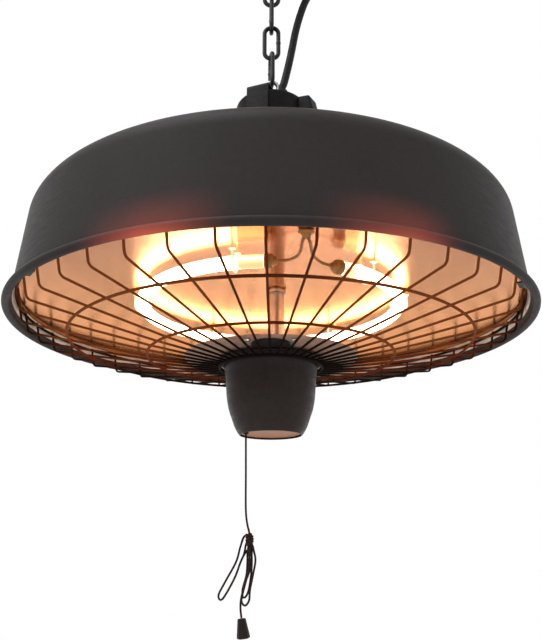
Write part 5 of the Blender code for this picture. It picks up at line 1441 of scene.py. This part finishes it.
def makeTopCap(settings):
    radius = settings["radius"]
    tall = settings["tall"]
    inside = radius - settings["wall"]
    under = tall - settings["wall"]
    edge = settings["edge"]
    outline = [(0.0, tall)] + arcPoints((radius - edge, tall - edge), edge, 90, 0, 10)
    outline += [(radius, 0.0024), (radius - 0.0004, 0.0019), (radius, 0.0014), (radius, 0.0)]
    outline += [(inside, 0.0), (inside, under - 0.001), (inside - 0.001, under), (0.0, under)]
    cap = turnedPiece("topCap", outline, (0, 0, capBase), 112)
    lugOutline = roundCorners(
        (
            (inside + 0.001, 0.0400), (inside + 0.001, 0.0642), (0.0420, 0.0624), (0.0447, 0.0500),
            (0.0452, 0.0423), (inside + 0.001, 0.0323), (inside + 0.001, 0.0380),
        ),
        0.0016, 5,
    )
    upright = Matrix.Rotation(math.radians(90), 4, "X")
    place = Matrix.Translation((0, 0, capBase)) @ Matrix.Rotation(
        math.radians(settings["lugTurnDeg"] - 90), 4, "Z"
    ) @ upright
    bm = bmesh.new()
    addPrism(bm, lugOutline, settings["lugWide"], place, 0.0012)
    lug = meshPiece("lug", bm)
    cap = combined(cap, lug, "UNION")
    hole = turnedPiece("hole", ((0, 0.004), (0.0049, 0.004), (0.0049, -0.006), (0, -0.006)), cableHole, 40)
    return combined(cap, hole, "DIFFERENCE")


onPiece(makeTopCap(capSettings), "capPlastic", "heater", "black_plastic", "top_cap")
grommetOutline = roundCorners(
    (
        (0.0, 0.0042), (0.0043, 0.0042), (0.0050, 0.0034), (0.0057, 0.0006), (0.0050, 0.0003),
        (0.0046, 0.0003), (0.0046, -0.0023), (0.0057, -0.0024), (0.0048, -0.0039), (0.0, -0.0039),
    ),
    0.0004, 4,
)
grommet = turnedPiece("cableGrommet", grommetOutline, cableHole, 40)
onPiece(grommet, "cableRubber", "heater", "black_rubber", "cable_grommet")
print("cap ready")


# Shade and reflector

def shadeLine(settings):
    lean = math.radians(settings["leanDeg"])
    bead = Vector((settings["rim"] - settings["bead"], 0))
    foot = Vector((bead.x - settings["bead"] + settings["thickness"] / 2, settings["bead"]))
    top = foot + Vector((-math.tan(lean), 1)) * (settings["wall"] - settings["bead"])
    centre = top - Vector((math.cos(lean), math.sin(lean))) * settings["shoulder"]
    crownStart = math.radians(settings["crownDeg"])
    run = math.cos(crownStart) - math.cos(math.radians(settings["seatDeg"]))
    shoulder = arcPoints(centre, settings["shoulder"], settings["leanDeg"], settings["crownDeg"], 16)
    crownRadius = (shoulder[-1].x - settings["seat"]) / run
    crownCentre = shoulder[-1] - Vector((math.cos(crownStart), math.sin(crownStart))) * crownRadius
    crown = arcPoints(crownCentre, crownRadius, settings["crownDeg"], settings["seatDeg"], 18)
    wall = [foot.lerp(top, step / 6) for step in range(6)]
    seat = roundCorners((crown[-2], crown[-1], Vector((0.030, crown[-1].y))), 0.004, 5)
    return bead, wall + shoulder + crown[1:-2] + seat + [Vector((0, crown[-1].y))]


def makeShade(settings):
    bead, line = shadeLine(settings)
    roll = arcPoints(bead, settings["roundBead"], 125, -215, 24)
    inner = besidePath(line, settings["thickness"])
    outline = list(reversed(line)) + roll + inner
    outline[0] = (0.0, outline[0][1])
    outline[-1] = (0.0, outline[-1][1])
    return turnedPiece("shadeShell", outline, (0, 0, rimZ), settings["steps"], 40)


def wallInside(height):
    # how far from the axis the wall's inner face stands
    lean = math.radians(shadeSettings["leanDeg"])
    foot = shadeSettings["rim"] - 2 * shadeSettings["bead"] + shadeSettings["thickness"] / 2
    return foot - math.tan(lean) * (
        height - shadeSettings["bead"]
    ) - shadeSettings["thickness"] / math.cos(lean)


reflectorSettings = {
    "edge": 0.012, "rise": 0.020, "lip": 0.003, "radius": 0.20386, "thickness": 0.001, "skirtLow": 0.0036,
    "skirtGap": 0.0002, "skirt": 0.0004,
}


def dishHeight(reach):
    share = reach / reflectorSettings["radius"]
    return reflectorSettings["edge"] + reflectorSettings["rise"] * (1 - share**2)


def makeReflector(settings):
    face = []
    for step in range(37):
        reach = settings["radius"] * step / 36
        face.append(Vector((reach, dishHeight(reach))))
    lipTop = settings["edge"] + settings["lip"]
    face[-1] = Vector((settings["radius"] - 0.0006, dishHeight(settings["radius"])))
    face.append(Vector((settings["radius"] - 0.0001, settings["edge"] + 0.0006)))
    face.append(Vector((wallInside(lipTop) - 0.0003, lipTop)))
    outline = besidePath(face, settings["thickness"]) + list(reversed(face))
    outline[0] = (0.0, outline[0][1])
    outline[-1] = (0.0, outline[-1][1])
    return turnedPiece("reflectorDish", outline, (0, 0, rimZ), 160, 40)


def makeSkirt(settings):
    # bright strip against the wall, from the dish's edge down to the bead; its brightness is painted light,
    # standing in for the tube's light on the lower wall
    low = settings["skirtLow"]
    high = settings["edge"] - 0.0004
    outer = [(wallInside(low) - settings["skirtGap"], low), (wallInside(high) - settings["skirtGap"], high)]
    inner = [(reach - settings["skirt"], height) for reach, height in reversed(outer)]
    return turnedPiece("reflectorSkirt", outer + inner, (0, 0, rimZ), 160, 40)


onPiece(makeShade(shadeSettings), "shadeEnamel", "heater", "dark_enamel", "shade")
onPiece(makeSkirt(reflectorSettings), "satinSkirt", "heater", "polished_aluminium")
onPiece(makeReflector(reflectorSettings), "polishedDish", "heater", "polished_aluminium", "reflector")
print("shade and reflector ready")


# Quartz tube with its coil, caps, leads and clips

def tubeArc(startDeg, endDeg, steps):
    height = rimZ + tubeSettings["height"]
    return [
        aroundFront(startDeg + (endDeg - startDeg) * step / steps, tubeSettings["ring"], height)
        for step in range(steps + 1)
    ]


def tubeEnd(side):
    turn = tubeSettings["endDeg"] if side else tubeSettings["startDeg"]
    along = aroundFront(turn + 90, 1, 0) * (1 if side else -1)
    return aroundFront(
        turn, tubeSettings["ring"], rimZ + tubeSettings["height"]
    ) + along * tubeSettings["straight"], along


def makeTube():
    ring = tubeArc(tubeSettings["startDeg"], tubeSettings["endDeg"], 160)
    return tubePiece("quartzTube", [tubeEnd(0)[0]] + ring + [tubeEnd(1)[0]], tubeSettings["radius"], 20)


def makeCoilTree(material):
    # rings of fine wire, square to a line and evenly spaced along it
    tree, given = shapeTree(
        "coilAlongLine",
        (("Turns", "Int", 100), ("Coil Radius", "Float", 0.003), ("Wire Radius", "Float", 0.0004)),
    )
    line = addNode(tree, "GeometryNodeMeshToCurve", (0, 0), {"Mesh": given["Geometry"]})
    points = addNode(
        tree, "GeometryNodeCurveToPoints", (1, 0), {"Curve": line.outputs[0], "Count": given["Turns"]}
    )
    hoop = circleNode(tree, (0, 2), 14, given["Coil Radius"])
    wire = circleNode(tree, (0, 3), 5, given["Wire Radius"])
    ring = addNode(tree, "GeometryNodeCurveToMesh", (1, 2), {"Curve": hoop, "Profile Curve": wire})
    rings = addNode(tree, "GeometryNodeInstanceOnPoints", (3, 0), {
        "Points": points.outputs["Points"], "Instance": ring.outputs[0],
        "Rotation": points.outputs["Rotation"],
    })
    return endTree(tree, rings.outputs[0], material)


onPiece(makeTube(), "quartzGlass", "heater", "quartz", "heating_tube")
litLine = tubeArc(tubeSettings["litStartDeg"], tubeSettings["litEndDeg"], 150)
onPiece(tubePiece("glowingCore", litLine, tubeSettings["core"], 8), "glowingCore", "heater", "quartz")
coil = grown(
    "filamentCoil", pointsObject(litLine, True), makeCoilTree(finishes["filamentWire"]),
    {
        "Turns": tubeSettings["turns"], "Coil Radius": tubeSettings["coil"],
        "Wire Radius": tubeSettings["coilWire"],
    },
    60,
)
onPiece(coil, "filamentWire", "heater", "quartz")

capOutline = roundCorners(
    (
        (0.0, 0.0095), (0.0020, 0.0095), (0.0026, 0.0090), (0.0036, 0.0064), (0.0047, 0.0062),
        (0.0053, 0.0056), (0.0053, 0.0044), (0.0048, 0.0040), (0.0055, 0.0036), (0.0055, 0.0007),
        (0.0050, 0.0), (0.0, 0.0),
    ),
    0.0004, 4,
)
leadSettings = {
    "radius": 0.0011, "bush": Vector((0.022833, -0.149215, rimZ + 0.020347)),
    "down": Vector((-0.024408, 0.159508, -0.986895)), "bushTurnDeg": 8.7, "spread": 0.0012, "run": 0.021,
    "fall": 0.0045, "lean": 3.4,
}
for side, label in ((0, "Right"), (1, "Left")):
    place, along = tubeEnd(side)
    seat = Matrix.Translation(place + along * 0.0003) @ along.to_track_quat("Z", "Y").to_matrix().to_4x4()
    bm = bmesh.new()
    addTurned(bm, capOutline, seat, 40)
    onPiece(
        meshPiece("tubeCap" + label, bm), "amberCeramic", "heater", "ceramic", "tube_cap_" + label.lower()
    )
    start = place + along * (0.0095 + 0.0006)
    across = aroundFront(leadSettings["bushTurnDeg"] + 90, 1, 0) * (
        -leadSettings["spread"] if side else leadSettings["spread"]
    )
    end = leadSettings["bush"] + leadSettings["down"] * 0.0046 + across
    c = end + leadSettings["down"] * leadSettings["fall"] + across * leadSettings["lean"]
    a, b, d = start, start + along * leadSettings["run"], end
    path = []
    for step in range(33):
        t = step / 32
        s = 1 - t
        path.append(s**3 * a + 3 * s * s * t * b + 3 * s * t * t * c + t**3 * d)
    lead = tubePiece("tubeLead" + label, path, leadSettings["radius"], 14)
    onPiece(lead, "leadSleeve", "heater", "wire_sleeve", "tube_lead_" + label.lower())
bushOutline = roundCorners(
    (
        (0.0, 0.0046), (0.0026, 0.0046), (0.0031, 0.0038), (0.0036, 0.0016), (0.0055, 0.0012),
        (0.0055, 0.0003), (0.0052, 0.0), (0.0, 0.0),
    ),
    0.0004, 4,
)
bm = bmesh.new()
bushPlace = Matrix.Translation(
    leadSettings["bush"]
) @ leadSettings["down"].to_track_quat("Z", "Y").to_matrix().to_4x4()
addTurned(bm, bushOutline, bushPlace, 40)
onPiece(meshPiece("leadBush", bm), "amberCeramic", "heater", "ceramic", "lead_bush")

clipSettings = {
    "anglesDeg": (85, 147, 213, 275, 346, 42), "wire": 0.0008, "clearance": 0.0009,
    "foot": (0.0044, 0.0032, 0.0007),
}


def makeTubeClips(settings):
    # wire hairpins under the tube, each leg on a small foot against the dish
    bend = tubeSettings["radius"] + settings["clearance"] + settings["wire"]
    bm = bmesh.new()
    for turn in settings["anglesDeg"]:
        line = arcPoints((tubeSettings["ring"], tubeSettings["height"]), bend, 180, 360, 14)
        ends = (tubeSettings["ring"] - bend, tubeSettings["ring"] + bend)
        heights = [dishHeight(reach + settings["wire"]) - 0.0006 for reach in ends]
        line = [Vector((ends[0], heights[0]))] + line + [Vector((ends[1], heights[1]))]
        addTube(
            bm, [aroundFront(turn, reach, rimZ + height) for reach, height in line], settings["wire"], 10
        )
        for reach, height in zip(ends, heights):
            wide, deep, thick = settings["foot"]
            place = (
                Matrix.Translation(
                    aroundFront(turn, reach, rimZ + height - thick / 2 - 0.0002)
                ) @ Matrix.Rotation(math.radians(turn), 4, "Z")
            )
            corners = (
                (-wide / 2, -deep / 2), (wide / 2, -deep / 2), (wide / 2, deep / 2), (-wide / 2, deep / 2)
            )
            addPrism(bm, corners, thick, place, 0.0002)
    return meshPiece("tubeClips", bm, 40, 0.000002)


clipNodes = [f"tube_clip_{index + 1}" for index in range(6)]
onPiece(makeTubeClips(clipSettings), "hotZinc", "heater", "zinc", *clipNodes)
print("tube ready")


# Centre tube, shield plate, bracket and nuts

stemX = 0.0045
stemLow = rimZ - 0.0291 - 0.0050
stemTop = seatTop + 0.0080
stemOutline = (
    (0.0050, stemTop), (0.0062, stemTop), (0.0065, stemTop - 0.0003), (0.0065, stemLow + 0.0003),
    (0.0062, stemLow), (0.0050, stemLow),
)
onPiece(
    turnedPiece("centreTube", stemOutline, (stemX, 0, 0), 48), "polishedTube", "heater",
    "polished_aluminium", "centre_tube",
)
shieldOutline = roundCorners(
    (
        (0.0, -0.0261), (0.0700, -0.0261), (0.0708, -0.0264), (0.0708, -0.0271), (0.0702, -0.0273),
        (0.0672, -0.0273), (0.0668, -0.0270), (0.0, -0.0270),
    ),
    0.0003, 3,
)
shieldPiece = turnedPiece("shieldPlate", shieldOutline, (0, 0, rimZ), 128)
onPiece(shieldPiece, "warmPlate", "heater", "dark_enamel", "shield_plate")


def makeBracket():
    outline = arcPoints((0, 0.047), 0.015, 0, 180, 24) + arcPoints((0, -0.047), 0.015, 180, 360, 24)
    bm = bmesh.new()
    addPrism(bm, outline, 0.0015, Matrix.Translation((0, 0, rimZ - 0.0276 - 0.00075)), 0.0)
    return meshPiece("cupBracket", bm, 30)


onPiece(makeBracket(), "blackSteel", "heater", "black_steel", "cup_bracket")
plateScrew = makeScrewHead(0.0024, 0.0016, 0.0010, 0.0013)
flip = (math.pi, 0, 0)
platePlaces = [(side * 0.0178, end * 0.0590, rimZ - 0.0273) for side in (-1, 1) for end in (-1, 1)]
plateScrews = screwPiece("plateScrews", platePlaces, plateScrew, flip)
bpy.data.objects.remove(plateScrew)
onPiece(plateScrews, "zincPlate", "heater", "zinc")

for node in (
    "stem_nut_crown_top", "stem_nut_crown_low", "stem_nut_reflector", "stem_nut_shield", "stem_nut_cup"
):
    low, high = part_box(node)
    name = "".join(part.capitalize() if index else part for index, part in enumerate(node.split("_")))
    nut = makeNut(
        name, 0.0092 if "reflector" in node else 0.0115, 0.0067, high.z - low.z, (stemX, 0, low.z)
    )
    finish = "zincPlate" if "crown" in node or "cup" in node else "polishedTube"
    onPiece(nut, finish, "heater", "zinc", node)
print("middle parts ready")


# Wire guard

guardSettings = {
    "wires": 42, "firstDeg": -0.88, "wire": 0.00094, "ringWire": 0.00112, "bend": 0.0052, "weld": 0.00130,
    "line": ((0.20140854, 0.00865), (0.1976, -0.0086), (0.1005, -0.0255), (0.0412, -0.0335)),
    "rings": ((0.202499, 0.0075), (0.1633, -0.01598), (0.1005, -0.0270), (0.041775, -0.03492)),
}


def makeGuardTree(material):
    # radial wires from one line, round rings, and a weld at every crossing on the three inner rings
    sockets = [
        ("Wires", "Int", 42), ("First Turn", "Float", 0.0), ("Wire Radius", "Float", 0.001),
        ("Ring Wire Radius", "Float", 0.001), ("Bend Radius", "Float", 0.004),
        ("Weld Radius", "Float", 0.001), ("Middle", "Vector", (0, 0, 0)),
    ]
    for index in range(4):
        sockets.append((f"Ring {index + 1} Radius", "Float", 0.1))
        sockets.append((f"Ring {index + 1} Height", "Float", 0.0))
    tree, given = shapeTree("radialGuard", sockets)
    line = addNode(tree, "GeometryNodeMeshToCurve", (0, 0), {"Mesh": given["Geometry"]})
    bent = addNode(
        tree, "GeometryNodeFilletCurve", (1, 0),
        {"Curve": line.outputs[0], "Radius": given["Bend Radius"], "Count": 4, "Limit Radius": True},
        mode="POLY",
    )
    section = circleNode(tree, (1, 1), 10, given["Wire Radius"])
    wire = addNode(tree, "GeometryNodeCurveToMesh", (2, 0), {
        "Curve": bent.outputs[0], "Profile Curve": section, "Fill Caps": True
    })
    hub = addNode(tree, "GeometryNodeMeshLine", (2, 2), {"Count": given["Wires"], "Offset": (0, 0, 0)})
    number = addNode(tree, "GeometryNodeInputIndex", (1, 3))
    step = mathNode(tree, (1, 4), "DIVIDE", math.tau, given["Wires"])
    turn = mathNode(tree, (2, 4), "MULTIPLY_ADD", number.outputs[0], step, given["First Turn"])
    spin = addNode(tree, "ShaderNodeCombineXYZ", (3, 4), {"Z": turn})
    wires = addNode(tree, "GeometryNodeInstanceOnPoints", (4, 0), {
        "Points": hub.outputs[0], "Instance": wire.outputs[0], "Rotation": spin.outputs[0]
    })
    ringSection = circleNode(tree, (3, 6), 10, given["Ring Wire Radius"])
    dot = addNode(
        tree, "GeometryNodeMeshIcoSphere", (3, 8), {"Radius": given["Weld Radius"], "Subdivisions": 2}
    )
    quarter = mathNode(tree, (2, 9), "SUBTRACT", given["First Turn"], math.pi / 2)
    dotSpin = addNode(tree, "ShaderNodeCombineXYZ", (3, 9), {"Z": quarter})
    joined = addNode(tree, "GeometryNodeJoinGeometry", (7, 0))
    tree.links.new(wires.outputs[0], joined.inputs[0])
    for index in range(4):
        radius = given[f"Ring {index + 1} Radius"]
        height = given[f"Ring {index + 1} Height"]
        circle = circleNode(tree, (3, 10 + 3 * index), 168, radius)
        ring = addNode(tree, "GeometryNodeCurveToMesh", (4, 10 + 3 * index), {
            "Curve": circle, "Profile Curve": ringSection
        })
        lift = addNode(tree, "ShaderNodeCombineXYZ", (4, 11 + 3 * index), {"Z": height})
        placed = addNode(tree, "GeometryNodeTransform", (5, 10 + 3 * index), {
            "Geometry": ring.outputs[0], "Translation": lift.outputs[0]
        })
        tree.links.new(placed.outputs[0], joined.inputs[0])
        posts = circleNode(tree, (3, 12 + 3 * index), given["Wires"], radius)
        dots = addNode(tree, "GeometryNodeInstanceOnPoints", (4, 12 + 3 * index), {
            "Points": posts, "Instance": dot.outputs[0]
        })
        above = mathNode(tree, (5, 11 + 3 * index), "ADD", height, 0.0008)
        dotLift = addNode(tree, "ShaderNodeCombineXYZ", (6, 11 + 3 * index), {"Z": above})
        dotsPlaced = addNode(tree, "GeometryNodeTransform", (6, 12 + 3 * index), {
            "Geometry": dots.outputs[0], "Translation": dotLift.outputs[0], "Rotation": dotSpin.outputs[0]
        })
        if index:
            tree.links.new(dotsPlaced.outputs[0], joined.inputs[0])
    moved = addNode(tree, "GeometryNodeTransform", (8, 0), {
        "Geometry": joined.outputs[0], "Translation": given["Middle"]
    })
    return endTree(tree, moved.outputs[0], material)


guardValues = {
    "Wires": guardSettings["wires"], "First Turn": math.radians(guardSettings["firstDeg"]),
    "Wire Radius": guardSettings["wire"], "Ring Wire Radius": guardSettings["ringWire"],
    "Bend Radius": guardSettings["bend"], "Weld Radius": guardSettings["weld"], "Middle": (0, 0, rimZ),
}
for index, (radius, height) in enumerate(guardSettings["rings"]):
    guardValues[f"Ring {index + 1} Radius"] = radius
    guardValues[f"Ring {index + 1} Height"] = height
guardLine = pointsObject([(0, -reach, height) for reach, height in guardSettings["line"]], True)
guard = grown("wireGuard", guardLine, makeGuardTree(finishes["guardSteel"]), guardValues, 60)
onPiece(guard, "guardSteel", "heater", "guard_steel", "wire_guard")
print("guard ready,", len(guard.data.polygons), "faces")


# Switch cup, its base and the cord's bush

cupSettings = {
    "topZ": -0.0294, "depth": 0.0606, "top": 0.0396, "base": 0.0253, "wall": 0.0012, "flange": 0.0430,
    "flangeLow": -0.0312,
    "shares": (
        (1.0, 0.0), (0.83, 0.19), (0.775, 0.35), (0.715, 0.52), (0.60, 0.66), (0.40, 0.80), (0.235, 0.905),
        (0.0, 1.0),
    ),
}


def makeCup(settings):
    spread = settings["top"] - settings["base"]
    side = [
        Vector((settings["base"] + spread * out, 0, settings["topZ"] - settings["depth"] * down))
        for out, down in settings["shares"]
    ]
    smooth = [Vector((point.x, point.z)) for point in smoothRoute(side, 0.0018)]
    inside = besidePath(smooth, -settings["wall"])
    inside[0].y = settings["topZ"]
    inside[-1].y = smooth[-1].y
    neck = next(point for point in smooth if point.y < settings["flangeLow"] - 0.0012)
    below = [point for point in smooth if point.y <= neck.y]
    flange = roundCorners(
        (
            Vector((inside[0].x, settings["topZ"])), Vector((settings["flange"], settings["topZ"])),
            Vector((settings["flange"], settings["flangeLow"])),
            Vector((neck.x + 0.0006, settings["flangeLow"])), below[0],
        ),
        0.0007, 5,
    )
    foot = [Vector((smooth[-1].x - 0.0003, smooth[-1].y)), Vector((inside[-1].x, inside[-1].y))]
    below[-1] = Vector((below[-1].x, below[-1].y + 0.0003))
    outline = flange + below[1:] + foot + list(reversed(inside[1:-1]))
    return turnedPiece("switchCup", outline, (0, 0, rimZ), 112, 40)


onPiece(makeCup(cupSettings), "darkEnamel", "heater", "dark_enamel", "switch_cup")
cordHole = (*cordSettings["out"], rimZ)
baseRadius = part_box("cup_base")[1].x
baseOutline = roundCorners(
    (
        (0.0, -0.0878), (baseRadius - 0.0001, -0.0878), (baseRadius - 0.0001, -0.0886),
        (baseRadius - 0.0005, -0.0888), (0.0222, -0.0888), (0.0218, -0.0885), (0.0, -0.0885),
    ),
    0.0003, 4,
)
base = turnedPiece("cupBase", baseOutline, (0, 0, rimZ), 112)
bushHole = turnedPiece("hole", ((0, -0.085), (0.0024, -0.085), (0.0024, -0.093), (0, -0.093)), cordHole, 32)
onPiece(combined(base, bushHole, "DIFFERENCE"), "satinBase", "heater", "satin_base", "cup_base")
bushRing = roundCorners(
    (
        (0.0012, -0.0890), (0.0012, -0.0867), (0.0029, -0.0867), (0.0029, -0.0877), (0.0021, -0.0877),
        (0.0021, -0.0900), (0.0012, -0.0900), (0.0012, -0.0891),
    ),
    0.0002, 3,
)
bush = turnedPiece("cordBush", bushRing, cordHole, 40)
onPiece(bush, "knobPlastic", "heater", "black_plastic", "cord_bush")
print("cup ready")


# Inner wires keep their routes and get rounder; what else stays from the CAD gets its finish

def softened(node, name):
    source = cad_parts[node]
    bm = bmesh.new()
    bm.from_mesh(source.data)
    piece = meshPiece(name, bm, 180, 0.00001)
    smooth = piece.modifiers.new("smooth", "SUBSURF")
    smooth.levels = 1
    smooth.render_levels = 1
    return piece


innerWires = (
    ("inner_cable", "innerCable", "cableRubber", "black_rubber", "heater"),
    ("reflector_wiring", "reflectorWiring", "leadSleeve", "wire_sleeve", "heater"),
    ("switch_wiring", "switchWiring", "leadSleeve", "wire_sleeve", "heater"),
)
for node, name, finish, slotName, body in innerWires:
    onPiece(softened(node, name), finish, body, slotName, node)

springSettings = {"radius": 0.0015, "wire": 0.00025, "turns": 6, "travel": 0.012}


def makeSpring(settings):
    # stands on the cup's base; the slider presses it
    low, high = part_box("return_spring")
    middle = (low + high) / 2
    points = []
    for step in range(settings["turns"] * 18 + 1):
        share = step / (settings["turns"] * 18)
        angle = math.tau * settings["turns"] * share
        height = low.z + settings["wire"] + (high.z - low.z - 2 * settings["wire"]) * share
        points.append((
            middle.x + settings["radius"] * math.cos(angle),
            middle.y + settings["radius"] * math.sin(angle), height,
        ))
    spring = tubePiece("returnSpring", points, settings["wire"], 8, 60, 0.000001)
    onPiece(spring, "zincPlate", "heater", "zinc", "return_spring")
    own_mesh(spring)


makeSpring(springSettings)
keptNodes = {
    "switch_body": "whitePlastic", "switch_slider": "knobPlastic", "terminal_block": "whitePlastic",
    "guard_clip_1": "blackSteel", "guard_clip_2": "blackSteel", "guard_clip_3": "blackSteel",
}
for node, finish in keptNodes.items():
    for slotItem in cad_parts[node].material_slots:
        slotItem.material = finishes[finish]
print("inner parts ready")


# Light, world and floor

def makeWorld():
    world = bpy.data.worlds.new("studio")
    world.use_nodes = True
    tree = world.node_tree
    tree.nodes.clear()
    path = addNode(tree, "ShaderNodeLightPath", (0, 0))
    first = mathNode(tree, (1, 0), "MAXIMUM", path.outputs["Is Camera Ray"], path.outputs["Is Glossy Ray"])
    seen = mathNode(tree, (2, 0), "MAXIMUM", first, path.outputs["Is Transmission Ray"])
    soft = addNode(tree, "ShaderNodeBackground", (2, 2), {"Color": (1, 1, 1, 1), "Strength": 0.55})
    white = addNode(tree, "ShaderNodeBackground", (2, 3), {"Color": (1, 1, 1, 1), "Strength": 1.0})
    mixed = addNode(tree, "ShaderNodeMixShader", (3, 0), {0: seen, 1: soft.outputs[0], 2: white.outputs[0]})
    addNode(tree, "ShaderNodeOutputWorld", (4, 0), {"Surface": mixed.outputs[0]})
    bpy.context.scene.world = world


def makeFloor(height, half):
    mesh = bpy.data.meshes.new("floor")
    mesh.from_pydata(
        [(-half, -half, height), (half, -half, height), (half, half, height), (-half, half, height)], [],
        [(0, 1, 2, 3)],
    )
    floor = bpy.data.objects.new("floor", mesh)
    bpy.context.scene.collection.objects.link(floor)
    material, tree, shader, coords = emptyMaterial("paleFloor")
    mottle = useGroup(tree, mottledColour, (-5, 0), {
        "Vector": coords["Object"], "Colour": (0.86, 0.86, 0.85, 1), "Spread": 0.015, "Scale": 3
    })
    fillInputs(
        tree, shader, {"Base Color": mottle.outputs["Colour"], "Roughness": 0.8, "Specular IOR Level": 0.1}
    )
    path = addNode(tree, "ShaderNodeLightPath", (-3, 3))
    seen = mathNode(tree, (-2, 3), "MULTIPLY", path.outputs["Is Camera Ray"], 0.22)
    both = mathNode(tree, (-1, 3), "MULTIPLY_ADD", path.outputs["Is Glossy Ray"], 0.50, seen)
    lift = addNode(tree, "ShaderNodeEmission", (0, 3), {"Strength": both})
    whole = addNode(tree, "ShaderNodeAddShader", (3, 0), {0: shader.outputs[0], 1: lift.outputs[0]})
    tree.links.new(whole.outputs[0], tree.nodes["Material Output"].inputs["Surface"])
    floor.data.materials.append(material)


def makeLamp(name, place, toward, size, power, colour):
    light = bpy.data.lights.new(name, "AREA")
    light.size = size
    light.energy = power
    light.color = colour
    lamp = bpy.data.objects.new(name, light)
    lamp.location = place
    lamp.rotation_euler = (Vector(toward) - Vector(place)).to_track_quat("-Z", "Y").to_euler()
    bpy.context.scene.collection.objects.link(lamp)


makeWorld()
makeFloor(-1.35, 6.3)
makeLamp("keyLamp", (-2.1, -1.3, 1.1), (0, 0, -0.4), 1.8, 19, (0.95, 0.97, 1.0))
makeLamp("topLamp", (-0.8, -0.6, 1.7), (0, 0, -0.3), 1.6, 33, (0.95, 0.97, 1.0))
makeLamp("fillLamp", (1.9, -1.2, 0.3), (0, 0, -0.4), 1.6, 5, (1.0, 1.0, 1.0))
bpy.context.scene.view_settings.view_transform = "Standard"
print("light ready")
